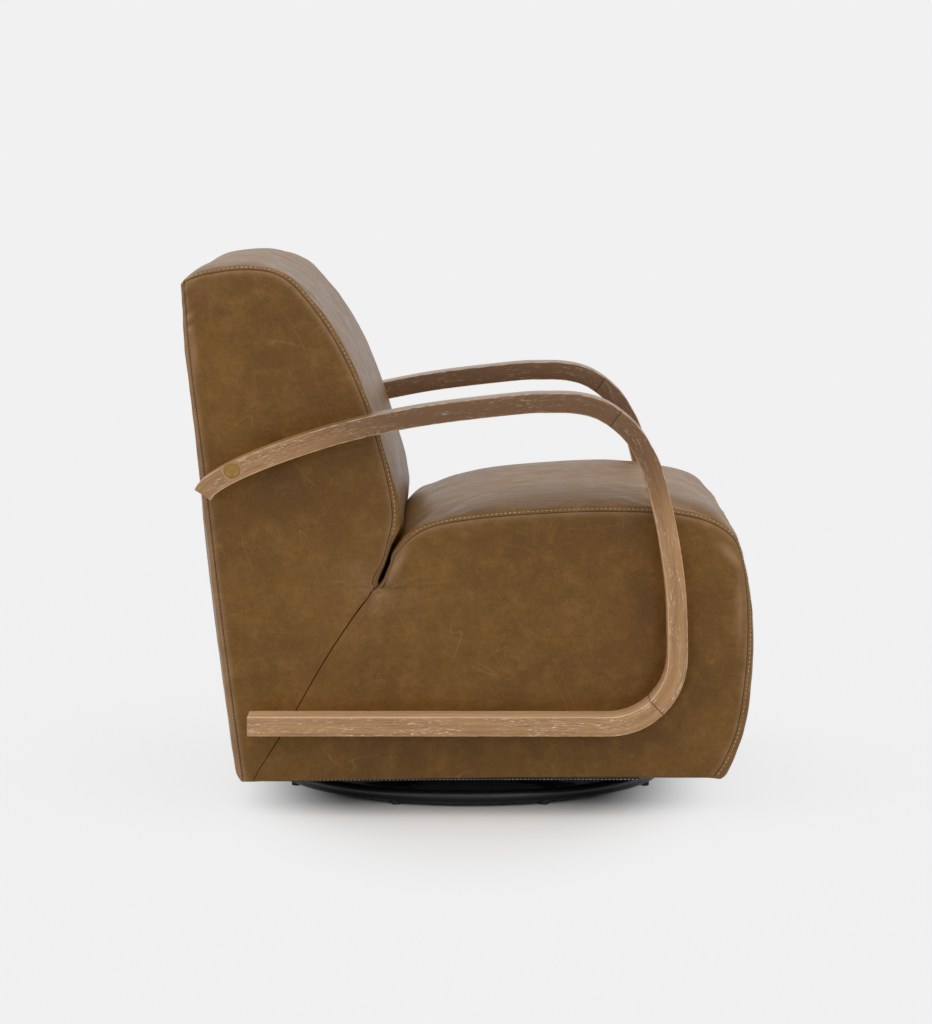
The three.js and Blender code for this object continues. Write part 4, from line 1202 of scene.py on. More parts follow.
    def measure(self) -> dict[str, np.ndarray]:
        """Returns, for each point, its distances to the seams and its place on the hide."""
        points = coordinates(self.obj.data)
        n = self.rows
        band = n * len(self.columns)
        flat = side_view(points)
        far = distance_to_line(flat, self.outer_seam)
        plain = distance_to_line(flat, self.plain_seam)
        steps = np.linalg.norm(np.diff(self.grid(), axis=0), axis=2)
        half = len(self.columns) // 2
        arc = np.zeros((len(self.columns), n))
        arc[1 : half + 1] = np.cumsum(steps[:half], axis=0)
        arc[half + 1 : -1] = np.cumsum(steps[half + 1 :][::-1], axis=0)[::-1]
        along = self.loop_lengths()
        arcs = np.concatenate((arc.ravel(), far[band:]))
        on_band = np.concatenate((np.ones(band), np.zeros(len(points) - band)))
        skin = np.zeros((len(points), 3))
        skin[:band, 0] = np.tile(along, len(self.columns))
        skin[:band, 1] = np.repeat(self.columns, n)
        skin[band:, 0] = flat[band:, 0] + 3.0
        skin[band:, 1] = flat[band:, 1]
        skin[:, 2] = self.seed
        working = smooth_step(0.004, 0.012, distance_to_line(flat[:band], self.plain_seam))
        working *= smooth_step(0.001, 0.004, flat[:band, 1] - self.sizes.hem_height)
        outside = np.concatenate((working, np.ones(len(points) - band)))
        slot = np.concatenate((np.tile(self.loop_slot, len(self.columns)), np.zeros(len(points) - band)))
        return {
            "arc": arcs, "plain": plain, "band": on_band, "skin": skin, "flat": flat, "outside": outside,
            "slot": slot, "inset": self.sizes.seam - np.abs(points[:, 0]),
            "hem": np.abs(flat[:, 1] - self.sizes.hem_height), "cross": self.cross_distance(skin[:, 0]),
        }

    def grid(self) -> np.ndarray:
        """Returns the band's points by column, then by row."""
        count = self.rows * len(self.columns)
        return coordinates(self.obj.data)[:count].reshape(len(self.columns), self.rows, 3)

    def loop_lengths(self) -> np.ndarray:
        """Returns how far along the closed outline each of its points lies."""
        return lengths(np.vstack((self.loop_seam, self.loop_seam[:1])))[: self.rows]

    def loop_place(self, fore: float, height: float) -> float:
        """Returns how far along the outline the point nearest a place lies."""
        nearest = int(np.argmin(np.hypot(self.loop_seam[:, 0] - fore, self.loop_seam[:, 1] - height)))
        return self.loop_lengths()[nearest]

    def cross_distance(self, place: np.ndarray) -> np.ndarray:
        """Returns each band point's distance to the nearest seam that crosses the band."""
        best = np.full(len(place), np.inf)
        for fore, height in self.cross_seams:
            best = np.minimum(best, np.abs(place - self.loop_place(fore, height)))
        return best

    def pad(self) -> None:
        """Lets the hide swell over its padding as cloth sewn down at the seams, then adds folds and seams."""
        facts = self.measure()
        rest = coordinates(self.obj.data)
        self.swell(facts, rest)
        self.fold(facts)
        self.mark(facts)

    def swell(self, facts: dict[str, np.ndarray], rest: np.ndarray) -> None:
        """Runs the cloth and keeps its swelling within a cap.

        Args:
            facts: What measure found for each point.
            rest: The points before the hide is stretched.
        """
        pad = self.padding
        sewn = (facts["arc"] < pad.seam_hold) | (facts["outside"] < 0.5)
        sewn |= (facts["plain"] < pad.slant_hold) | (facts["hem"] < pad.hem_hold)
        sewn |= (facts["slot"] > 0.2) & (facts["inset"] < pad.notch_hold)
        group = self.obj.vertex_groups.new(name="sewn")
        group.add([int(i) for i in np.flatnonzero(sewn)], 1.0, "REPLACE")
        cloth = self.obj.modifiers.new("Cloth", "CLOTH")
        cloth.settings.quality = pad.quality
        cloth.settings.mass = pad.mass
        cloth.settings.tension_stiffness = pad.tension
        cloth.settings.compression_stiffness = pad.tension
        cloth.settings.shear_stiffness = pad.shear
        cloth.settings.bending_stiffness = pad.bending
        cloth.settings.vertex_group_mass = "sewn"
        cloth.settings.use_pressure = True
        cloth.settings.uniform_pressure_force = pad.pressure
        cloth.settings.effector_weights.gravity = 0
        cloth.collision_settings.use_collision = False
        scene = bpy.context.scene
        cloth.point_cache.frame_start = 1
        cloth.point_cache.frame_end = pad.frames
        for frame in range(1, pad.frames + 1):
            scene.frame_set(frame)
        graph = bpy.context.evaluated_depsgraph_get()
        moved = coordinates(self.obj.evaluated_get(graph).data)
        self.obj.modifiers.remove(cloth)
        scene.frame_set(1)
        move = moved - rest
        size = np.linalg.norm(move, axis=1)
        cap = np.where(facts["band"] > 0.5, pad.band_cap, pad.panel_cap)
        held = cap * np.tanh(size / cap)
        most = (size.max() * 1000, held.max() * 1000)
        LOG.info("%s: cloth moved %.1f mm at most, kept %.1f mm", self.name, *most)
        move *= (held / np.maximum(size, 1e-9))[:, None]
        set_coordinates(self.obj.data, rest + move)

    def fold(self, facts: dict[str, np.ndarray]) -> None:
        """Moves the skin in and out for the sewn edge, the puckers, the sags and the fans of folds.

        Args:
            facts: What measure found for each point.
        """
        points = coordinates(self.obj.data)
        out = normals(self.obj.data)
        band = facts["band"] > 0.5
        arc = facts["arc"]
        skin = facts["skin"]
        rng = np.random.default_rng(self.seed)
        height = np.zeros(len(points))
        strip = smooth_step(0.0006, 0.0022, arc) * (1 - smooth_step(0.0052, 0.0105, arc))
        height += np.where(band, 0.0006 * strip, 0)
        height -= np.where(band, 0.0007 * np.exp(-(((arc - 0.0055) / 0.0012) ** 2)), 0)
        pucker = np.zeros(len(points))
        for wave, size in self.puckers:
            turn, drift = rng.uniform(0, math.tau, 2)
            wander = 0.8 * np.sin(skin[:, 1] * 30 + drift)
            pucker += size * np.sin(skin[:, 0] * math.tau / wave + turn + wander)
        near = np.exp(-arc / 0.022) * smooth_step(0.004, 0.012, arc)
        height += np.where(band, pucker * near * 0.8, pucker * near * 0.35)
        for size, along, across in self.sags:
            turn, drift = rng.uniform(0, math.tau, 2)
            wander = np.sin(skin[:, 0] * along + turn) * np.sin(skin[:, 1] * across + drift)
            height += np.where(band, size, size * 0.4) * wander * smooth_step(0.01, 0.06, arc)
        fans = np.zeros(len(points))
        for form in (*self.folds, *self.blisters):
            fans += form.relief(*facts["flat"].T)
        height += np.where(band, fans * np.exp(-arc / 0.02) * 0.6 * (1 - facts["slot"]), fans)
        away = facts["cross"]
        cut = 0.0014 * np.exp(-((away / 0.0016) ** 2))
        cut = cut - 0.0006 * np.exp(-(((away - 0.0045) / 0.003) ** 2))
        height -= np.where(band, cut * smooth_step(0.002, 0.006, arc), 0)
        height *= np.where(band, facts["outside"], 1.0)
        height *= smooth_step(0.0, 0.004, facts["hem"] + 0.0005)
        set_coordinates(self.obj.data, points + out * height[:, None])

    def mark(self, facts: dict[str, np.ndarray]) -> None:
        """Writes the attributes that the leather's finish follows, among them the painted shade along the
        seams and the lightening that is partly wear and partly painted highlight.

        Args:
            facts: What measure found for each point.
        """
        data = self.obj.data
        band = facts["band"] > 0.5
        # The seam attribute drives painted shade: the finish darkens the hide where it is near 0, along the
        # side seams, the slanting seam and the cross seams.
        seam = np.where(band, facts["arc"], np.minimum(facts["arc"], facts["plain"] * 6 + 0.0002))
        seam = np.where(band, np.minimum(seam, facts["cross"]), seam)
        # Deep inside the notch the seam attribute is set to 0, so the recess takes the painted shade too.
        inner = smooth_step(0.008, 0.014, facts["inset"]) * facts["slot"]
        set_attribute(data, "seam", seam * (1 - inner))
        fore, height = facts["flat"].T
        # The panel's edge next to a seam is lightened, partly wear and partly painted highlight on the rolled
        # edge; the band gets a wider, weaker lightening.
        rubbed = 0.55 * np.exp(-((facts["arc"] / 0.005) ** 2))
        wear_and_highlight = np.where(band, 0.3 * np.exp(-facts["arc"] / 0.014), rubbed)
        # Painted highlight on the band just inside its rear seam, below the top corner.
        rear = smooth_step(0.3, 0.34, -fore) * (1 - smooth_step(0.75, 0.765, height))
        wear_and_highlight = np.maximum(wear_and_highlight, np.where(band, 0.75 * rear * np.exp(-((facts["arc"] / 0.03) ** 2)), 0.0))
        # Painted highlight round each fan of folds, stronger on the panels than on the band.
        for fan in self.folds:
            away = np.hypot(fore - fan.fore, height - fan.height)
            wear_and_highlight = np.maximum(wear_and_highlight, np.where(band, 0.2, 0.35) * np.exp(-away / 0.025))
        # Raised swellings add lightening, partly wear and partly painted highlight on the ridge; sunken ones
        # take it away, so their valleys stay darker as painted shade.
        for blister in self.blisters:
            share = blister.share(fore, height)
            if blister.lift < 0:
                wear_and_highlight *= 1 - np.minimum(1.0, 1.3 * share)
            else:
                fade = np.where(band, np.exp(-facts["arc"] / 0.02), 1.0)
                wear_and_highlight = np.maximum(wear_and_highlight, fade * blister.wear_and_highlight_share * share)
        set_attribute(data, "wear_and_highlight", wear_and_highlight)
        set_attribute(data, "stretch", np.where(band, smooth_step(0.01, 0.05, facts["arc"]), 0.0))
        set_attribute(data, "skin", facts["skin"])

    def row(self, distance: float, run: slice, column_side: float) -> np.ndarray:
        """Returns the line on the band that keeps a distance from a side seam.

        Args:
            distance: How far from the seam, over the surface.
            run: The part of the outline that the line follows.
            column_side: 1 for the left seam and -1 for the right one.

        Returns:
            The line's points, before the skin is divided finer.
        """
        n = self.rows
        grid = self.grid()
        if column_side > 0:
            grid = grid[::-1]
        half = len(self.columns) // 2
        steps = np.linalg.norm(np.diff(grid[: half + 1], axis=0), axis=2)
        arc = np.vstack((np.zeros(n), np.cumsum(steps, axis=0)))
        line = []
        for k in range(n)[run]:
            line.append([np.interp(distance, arc[:, k], grid[: half + 1, k, axis]) for axis in range(3)])
        return np.array(line)

    def row_across(self, fore: float, height: float, shift: float) -> np.ndarray:
        """Returns the line across the band beside a cross seam.

        Args:
            fore: How far ahead of the swivel axis the seam lies.
            height: How high it lies.
            shift: How far along the outline from the seam the line runs.

        Returns:
            The line's points, one row each.
        """
        grid = self.grid()
        along = self.loop_lengths()
        place = self.loop_place(fore, height) + shift
        kept = np.flatnonzero(np.abs(self.columns) < self.sizes.seam - 0.003)
        return np.array([[np.interp(place, along, grid[c, :, axis]) for axis in range(3)] for c in kept])

    def refine(self) -> None:
        """Divides the skin once more and smooths it."""
        take(self.obj)
        finer = self.obj.modifiers.new("Finer", "SUBSURF")
        finer.levels = 1
        finer.render_levels = 1
        finer.boundary_smooth = "PRESERVE_CORNERS"
        apply_modifiers(self.obj)
        if "sewn" in self.obj.vertex_groups:
            self.obj.vertex_groups.remove(self.obj.vertex_groups["sewn"])


@dataclass(frozen=True)
class FrameSpace:
    """The hollow under the cushions that the plywood frame fills."""

    half_width: float = 0.2793
    low: float = 0.039
    bottom: float = 0.052
    seat_top: float = 0.2946
    front: float = 0.3353
    heel: float = 0.304
    post_top: float = 0.735
    post_reach: float = 0.384
    post_depth: float = 0.072
    knee: float = 0.060
    grow: float = 0.0003

    def outline(self) -> list[tuple[float, float]]:
        """Returns the hollow's outline as (fore, height) points."""
        lean = (self.post_reach - self.heel) / (self.post_top - self.bottom)

        def rear(height: float) -> float:
            """Returns how far ahead the posts' rear face lies at a height."""
            return -self.heel - lean * (height - self.bottom)

        knee = rear(self.seat_top) + self.post_depth + self.grow
        points = [(rear(self.low) - self.grow, self.low), (self.front, self.low), (self.front, self.seat_top)]
        start = np.array((knee + self.knee, self.seat_top))
        middle = np.array((knee, self.seat_top))
        end = np.array((knee - lean * self.knee, self.seat_top + self.knee))
        for t in np.linspace(0, 1, 9):
            points.append(tuple((1 - t) ** 2 * start + 2 * t * (1 - t) * middle + t**2 * end))
        points.append((rear(self.post_top) + self.post_depth + self.grow, self.post_top + self.grow))
        points.append((rear(self.post_top) - self.grow, self.post_top + self.grow))
        return points

    def cutter(self, material: Material) -> Object:
        """Makes the hollow as a solid, in the liner's material."""
        outline = self.outline()
        n = len(outline)
        points = [(x, -fore, z) for x in (-self.half_width, self.half_width) for fore, z in outline]
        faces = [tuple(range(n)), tuple(range(2 * n - 1, n - 1, -1))]
        faces += [(k, k + n, (k + 1) % n + n, (k + 1) % n) for k in range(n)]
        obj = mesh_object("frame_space", np.array(points), faces)
        tidy_normals(obj)
        dress(obj, material)
        return obj


@dataclass(frozen=True)
class Stitch:
    """A row of stitches: each one a small rounded length of thread."""

    name: str
    length: float
    pitch: float
    radius: float
    sink: float = 0.0002

    def sew(
        self, line: np.ndarray, material: Material, outward: Callable[[np.ndarray], np.ndarray]
    ) -> Object:
        """Lays the row along a line.

        Args:
            line: The points that the row follows.
            material: The thread.
            outward: Gives the surface direction at points, so that each stitch lies on the hide.

        Returns:
            One object with every stitch of the row.
        """
        along = lengths(line)
        count = int(along[-1] // self.pitch)
        middles = (np.arange(count) + 0.5) * along[-1] / count
        place = points_along(line, along, middles)
        ahead = points_along(line, along, middles + self.length / 2)
        tangent = ahead - points_along(line, along, middles - self.length / 2)
        tangent /= np.maximum(np.linalg.norm(tangent, axis=1), 1e-9)[:, None]
        out = outward(place)
        side = np.cross(tangent, out)
        side /= np.maximum(np.linalg.norm(side, axis=1), 1e-9)[:, None]
        out = np.cross(side, tangent)
        bead, faces = self.bead()
        points = []
        polygons = []
        for k in range(count):
            base = k * len(bead)
            centre = place[k] + out[k] * (self.radius * 0.5 - self.sink)
            turned_bead = bead[:, :1] * tangent[k] + bead[:, 1:2] * side[k] + bead[:, 2:] * out[k]
            points.append(centre + turned_bead)
            polygons.extend(tuple(base + i for i in f) for f in faces)
        obj = mesh_object(self.name, np.vstack(points), polygons)
        for polygon in obj.data.polygons:
            polygon.use_smooth = True
        dress(obj, material)
        return obj

    def bead(self) -> tuple[np.ndarray, list[tuple[int, ...]]]:
        """Models one stitch and returns its points and faces."""
        deselect_all()
        bpy.ops.mesh.primitive_uv_sphere_add(segments=6, ring_count=5, radius=1.0)
        obj = bpy.context.object
        obj.data.transform(Matrix.Rotation(math.pi / 2, 4, "Y"))
        points = coordinates(obj.data)
        points *= np.array((self.length / 2, self.radius, self.radius))
        points[:, 2] -= 0.35 * self.radius * (points[:, 0] / (self.length / 2)) ** 2
        faces = [tuple(p.vertices) for p in obj.data.polygons]
        bpy.data.objects.remove(obj)
        return points, faces


class Hide:
    """Finds surface directions on a finished cushion."""

    def __init__(self, obj: Object) -> None:
        """Reads the cushion's surface."""
        self.tree = BVHTree.FromObject(obj, bpy.context.evaluated_depsgraph_get())

    def outward(self, places: np.ndarray) -> np.ndarray:
        """Returns the surface direction nearest each place."""
        found = [self.tree.find_nearest(Vector(p))[1] for p in places]
        return np.array([tuple(f) for f in found])

    def onto(self, places: np.ndarray) -> np.ndarray:
        """Returns each place moved onto the surface."""
        return np.array([tuple(self.tree.find_nearest(Vector(p))[0]) for p in places])


@dataclass
class Upholstery:
    """The leather seat and back, with their seams and stitches."""

    sizes: BodySizes
    finishes: Finishes
    topstitch_inset: float = 0.0042
    rear_inset: float = 0.0014
    cross_inset: float = 0.0045
    clear: float = 0.0006
    fine: int = 400

    def seat(self) -> LeatherShell:
        """Describes the seat cushion."""
        s = self.sizes
        slope = s.slant(self.fine, s.shell_gap)
        heel = slope[0]
        seam = spline(s.seat_points(SEAT_SEAM), self.fine * 4)
        crown = spline(s.seat_points(SEAT_CROWN), self.fine * 4)
        seam[0] = slope[-1]
        crown[0] = slope[-1]
        knots = len(SEAT_SEAM) - 1
        rise = int(round(7 / knots * (len(seam) - 1)))
        turn = int(round(13.15 / knots * (len(seam) - 1)))
        left = Stretch(slope, slope).then(Stretch(seam[: rise + 1], crown[: rise + 1]))
        top = Stretch(seam[rise : turn + 1], crown[rise : turn + 1])
        right = Stretch(seam[turn:], crown[turn:]).back()
        hem = Stretch(straight(heel, seam[-1], self.fine), straight(heel, crown[-1], self.fine))
        return LeatherShell(
            name="seat_leather", node="seat_cushion", sizes=s, left=left, top=top, right=right, bottom=hem,
            weave=Weave(84, 72, 480, 430, 0.83), outer_seam=seam, plain_seam=slope,
            cross_seams=((float(seam[turn, 0]), float(seam[turn, 1])),), shoulders=SEAT_SHOULDERS,
            hem_drops=(
                (-0.32, 0.0034), (-0.30, 0.0026), (-0.22, 0.0022), (0.05, 0.0), (0.35, 0.0), (0.366, 0.0022),
            ),
            folds=(
                Fold(-0.131, 0.320, 0.0030, 0.012, 9.0, 0.6),
                Fold(-0.131, 0.320, 0.0016, 0.030, 15.0, 2.0),
            ),
            blisters=(
                Blister(-0.1075, 0.3575, 0.0065, 0.036, 0.0022, -0.5, 0.9),
                Blister(-0.137, 0.305, 0.0045, 0.016, 0.0014, 0.1, 0.7),
                Blister(-0.126, 0.310, 0.0035, 0.010, 0.0012, -0.6, 0.7),
                Blister(0.380, 0.371, 0.0075, 0.024, 0.0018, 0.69, 0.9),
                Blister(0.392, 0.300, 0.006, 0.060, 0.0008, 0.0, 0.6),
            ),
            slot_span=(0.375, 0.405), seed=11,
        )

    def back(self) -> LeatherShell:
        """Describes the back cushion."""
        s = self.sizes
        seam = spline(s.back_points(BACK_SEAM), self.fine * 4)
        crown = spline(s.back_points(BACK_CROWN), self.fine * 4)
        seam[-1] = s.notch
        crown[-1] = s.notch
        rear_seam = spline(s.rear_points(REAR_SEAM), self.fine)
        rear_crown = spline(s.rear_points(REAR_CROWN), self.fine)
        knots = len(BACK_SEAM) - 1
        turn = int(round(5.0 / knots * (len(seam) - 1)))
        slope = s.slant(self.fine)[::-1]
        left = Stretch(rear_seam, rear_crown)
        top = Stretch(seam[: turn + 1], crown[: turn + 1])
        right = Stretch(seam[turn:], crown[turn:]).then(Stretch(slope, slope)).back()
        hem = Stretch(straight(rear_seam[0], s.heel, self.fine), straight(rear_crown[0], s.heel, self.fine))
        outer = np.vstack((rear_seam, seam))
        return LeatherShell(
            name="back_leather", node="back_cushion", sizes=s, left=left, top=top, right=right, bottom=hem,
            weave=Weave(36, 128, 175, 760, 0.42), outer_seam=outer, plain_seam=slope,
            cross_seams=((float(seam[0, 0]), float(seam[0, 1])),), shoulders=BACK_SHOULDERS,
            hem_drops=((-0.35, 0.0038), (-0.317, 0.0036), (-0.30, 0.0036)),
            folds=(
                Fold(-0.145, 0.328, 0.0026, 0.014, 8.0, 1.9),
                Fold(-0.145, 0.328, 0.0013, 0.035, 14.0, 0.4),
                Fold(-0.405, 0.765, 0.0022, 0.022, 10.0, 1.0),
            ),
            blisters=(
                Blister(-0.4095, 0.7575, 0.0045, 0.0065, 0.0046, 0.1, 1.0),
                Blister(-0.4045, 0.7480, 0.0080, 0.0040, -0.0034, 0.6),
                Blister(-0.4075, 0.7390, 0.0045, 0.0060, 0.0044, 0.2, 1.0),
                Blister(-0.4025, 0.7290, 0.0080, 0.0040, -0.0032, 0.5),
                Blister(-0.4050, 0.7190, 0.0045, 0.0058, 0.0038, 0.0, 1.0),
                Blister(-0.4010, 0.7100, 0.0060, 0.0036, -0.0022, 0.5),
                Blister(-0.4035, 0.7010, 0.0040, 0.0070, 0.0026, 0.0, 1.0),
                Blister(-0.3985, 0.6650, 0.0034, 0.0320, 0.0012, 0.08, 0.8),
                Blister(-0.1560, 0.3400, 0.0120, 0.026, 0.0014, 0.5, 0.4),
            ),
            slot_span=(0.385, 0.430), seed=23,
        )

    def press_apart(self, seat: LeatherShell, back: LeatherShell) -> None:
        """Keeps the seat's skin outside the back's where the two cushions press together.

        Args:
            seat: The cushion whose skin gives way.
            back: The cushion that keeps its shape.
        """
        tree = BVHTree.FromObject(back.obj, bpy.context.evaluated_depsgraph_get())
        points = coordinates(seat.obj.data)
        count = 0
        for k, p in enumerate(points):
            if p[1] < 0.08 or p[2] < 0.3:
                continue
            place, out, _, away = tree.find_nearest(Vector(p))
            if away < 0.08 and (Vector(p) - place).dot(out) < self.clear:
                points[k] = tuple(place + out * self.clear)
                count += 1
        set_coordinates(seat.obj.data, points)
        LOG.info("seat skin moved clear of the back at %d points", count)

    def press_arms(self, shell: LeatherShell) -> None:
        """Flattens the side panels where the arms lie against them."""
        points = coordinates(shell.obj.data)
        away = distance_to_line(side_view(points), ArmSizes().centreline()[::6])
        limit = self.sizes.half_width - 0.0002 + 0.012 * smooth_step(0.015, 0.05, away)
        points[:, 0] = np.clip(points[:, 0], -limit, limit)
        set_coordinates(shell.obj.data, points)

    def build(self) -> None:
        """Makes both cushions and sews their seams."""
        seat, back = self.seat(), self.back()
        for shell in (back, seat):
            shell.build()
            shell.pad()
            self.press_arms(shell)
        self.press_apart(seat, back)
        rows = self.rows(seat, back)
        for shell in (back, seat):
            shell.refine()
            dress(shell.obj, self.finishes.leather)
            shell.obj.data.materials.append(self.finishes.liner)
            hide = Hide(shell.obj)
            self.sew(rows[shell.name], hide)
            cut_with(shell.obj, FrameSpace().cutter(self.finishes.liner))
            smooth(shell.obj, 62.0)
            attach(shell.obj, "chair")
            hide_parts(shell.node)
            LOG.info("%s: %d faces", shell.name, len(shell.obj.data.polygons))

    def rows(self, seat: LeatherShell, back: LeatherShell) -> dict[str, list[tuple]]:
        """Finds the lines that the stitches follow.

        Args:
            seat: The seat cushion.
            back: The back cushion.

        Returns:
            For each cushion, its rows as their name, their line and their thread.
        """
        on_seat, on_back = [], []
        bound = self.sizes.notch_height + 0.072
        for side, sign in SIDES.items():
            nv, nu = back.weave.up, back.weave.across
            line = back.row(self.topstitch_inset, slice(nv, 2 * nv + nu), sign)
            upper = int(np.argmax(line[:, 2] < bound))
            on_back.append((f"back_topstitch_{side}", line[:upper], "gold"))
            off_slant = distance_to_line(back.loop_seam[nv : 2 * nv + nu], back.plain_seam)
            low = int(np.argmax(off_slant < 0.003))
            on_back.append((f"back_notch_stitch_{side}", line[upper - 1 : low], "dark"))
            rear = back.row(self.rear_inset, slice(2, nv - 1), sign)
            on_back.append((f"back_rear_stitch_{side}", rear, "dark"))
            nv, nu = seat.weave.up, seat.weave.across
            line = seat.row(self.topstitch_inset, slice(0, 2 * nv + nu - 2), sign)
            clear = distance_to_line(seat.loop_seam[: 2 * nv + nu - 2], seat.plain_seam) > 0.003
            start = int(np.argmax(clear))
            rise = start + int(np.argmax(line[start:, 2] > bound))
            on_seat.append((f"seat_notch_stitch_{side}", line[start : rise + 1], "dark"))
            on_seat.append((f"seat_topstitch_{side}", line[rise:], "gold"))
        for number, shift in enumerate((-self.cross_inset, self.cross_inset)):
            line = seat.row_across(*seat.cross_seams[0], shift)
            on_seat.append((f"seat_cross_stitch_{number + 1}", line, "gold"))
        line = back.row_across(*back.cross_seams[0], self.cross_inset)
        on_back.append(("back_cross_stitch", line, "gold"))
        return {seat.name: on_seat, back.name: on_back}

    def sew(self, rows: list[tuple], hide: Hide) -> None:
        """Sews the given rows onto a cushion, in their thread and its stitch sizes."""
        threads = {
            "gold": (self.finishes.gold_thread, 0.0042, 0.0066, 0.0005),
            "dark": (self.finishes.dark_thread, 0.0032, 0.0052, 0.0004),
        }
        for name, line, kind in rows:
            thread, length, pitch, radius = threads[kind]
            obj = Stitch(name, length, pitch, radius).sew(hide.onto(line), thread, hide.outward)
            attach(obj, "chair")


@dataclass
class HemTape:
    """The black tape that closes the bottom edge of each side, with its row of pale stitches."""

    finishes: Finishes
    inset: float = 0.3045
    thickness: float = 0.0010
    top: float = 0.0446
    bottom: float = 0.0408
    rear: float = -0.300
    front: float = 0.246
    lift: float = 0.0022

    def build(self) -> None:
        """Makes the tape and its stitches on both sides."""
        count = 42
        fore = np.linspace(self.rear, self.front, count)
        rise = self.lift * smooth_step(-0.30, 0.06, fore)
        for side, sign in SIDES.items():
            deselect_all()
            length = self.front - self.rear
            middle = (sign * self.inset, -(self.rear + length / 2), (self.top + self.bottom) / 2)
            bpy.ops.mesh.primitive_cube_add(size=1.0, location=middle)
            obj = bpy.context.object
            obj.scale = (self.thickness, length, self.top - self.bottom)
            settle(obj, f"hem_tape_{side}")
            select_edges(obj, lambda a, b: abs(a.y - b.y) > 0.1)
            bpy.ops.mesh.subdivide(number_cuts=count - 2)
            bpy.ops.mesh.select_all(action="DESELECT")
            bpy.ops.object.mode_set(mode="OBJECT")
            points = coordinates(obj.data)
            points[:, 2] += np.interp(-points[:, 1], fore, rise)
            set_coordinates(obj.data, points)
            select_edges(obj, lambda a, b: min(a.z, b.z) < self.bottom + 0.0024 and abs(a.y - b.y) > 1e-5)
            bpy.ops.mesh.bevel(offset=0.0002, segments=1, affect="EDGES")
            bpy.ops.object.mode_set(mode="OBJECT")
            smooth(obj, 40.0)
            dress(obj, self.finishes.cover)
            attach(obj, "chair")
            x = sign * (self.inset + self.thickness / 2)
            line = np.stack((np.full(count, x), -fore, self.bottom + 0.0012 + rise), axis=1)
            stitch = Stitch(f"hem_stitch_{side}", 0.0034, 0.0056, 0.00045)
            out = np.array((sign, 0.0, 0.0))
            thread = self.finishes.pale_thread
            row = stitch.sew(line, thread, lambda places, out=out: np.tile(out, (len(places), 1)))
            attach(row, "chair")
        LOG.info("hem tape on both sides")


# Arms


@dataclass(frozen=True)
class ArmSizes:
    """Sizes of a bentwood arm loop, with its joints as shares of the centreline's length."""

    width: float = 0.060
    thickness: float = 0.028
    inner: float = 0.3103
    tip_reach: float = 0.3825
    front_reach: float = 0.299
    crest_height: float = 0.599
    rail_height: float = 0.132
    rail_reach: float = 0.321
    corner_radius: float = 0.099
    bolt_reach: float = 0.340
    bolt_height: float = 0.5035
    shoulder: float = 0.373
    corner: float = 0.6415
    joint_gap: float = 0.0003
    chamfer: float = 0.0013
    free_edge: float = 0.0011
    joint_edge: float = 0.0003
    bolt_bore: float = 0.0053
    cap_bore: float = 0.01165
    cap_depth: float = 0.0063

    def centreline(self) -> np.ndarray:
        """Returns the arm's centreline from its tip to the rail's rear end, as (fore, height) points."""
        table = np.array(ARM_LINE, float)
        fore = table[:, 0] * (self.tip_reach + self.front_reach) - self.tip_reach
        height = self.rail_height + table[:, 1] * (self.crest_height - self.rail_height)
        centre = np.array((self.front_reach - self.corner_radius, self.rail_height + self.corner_radius))
        start = np.array(((self.front_reach, centre[1]),))
        upper = spline(np.vstack((np.stack((fore, height), axis=1), start)), 900)
        angle = np.linspace(0, -math.pi / 2, 120)[:, None]
        bend = centre + self.corner_radius * np.hstack((np.cos(angle), np.sin(angle)))
        foot = np.array((-self.rail_reach, self.rail_height))
        rail = straight(bend[-1], foot, 300)
        return np.vstack((upper, bend[1:], rail[1:]))


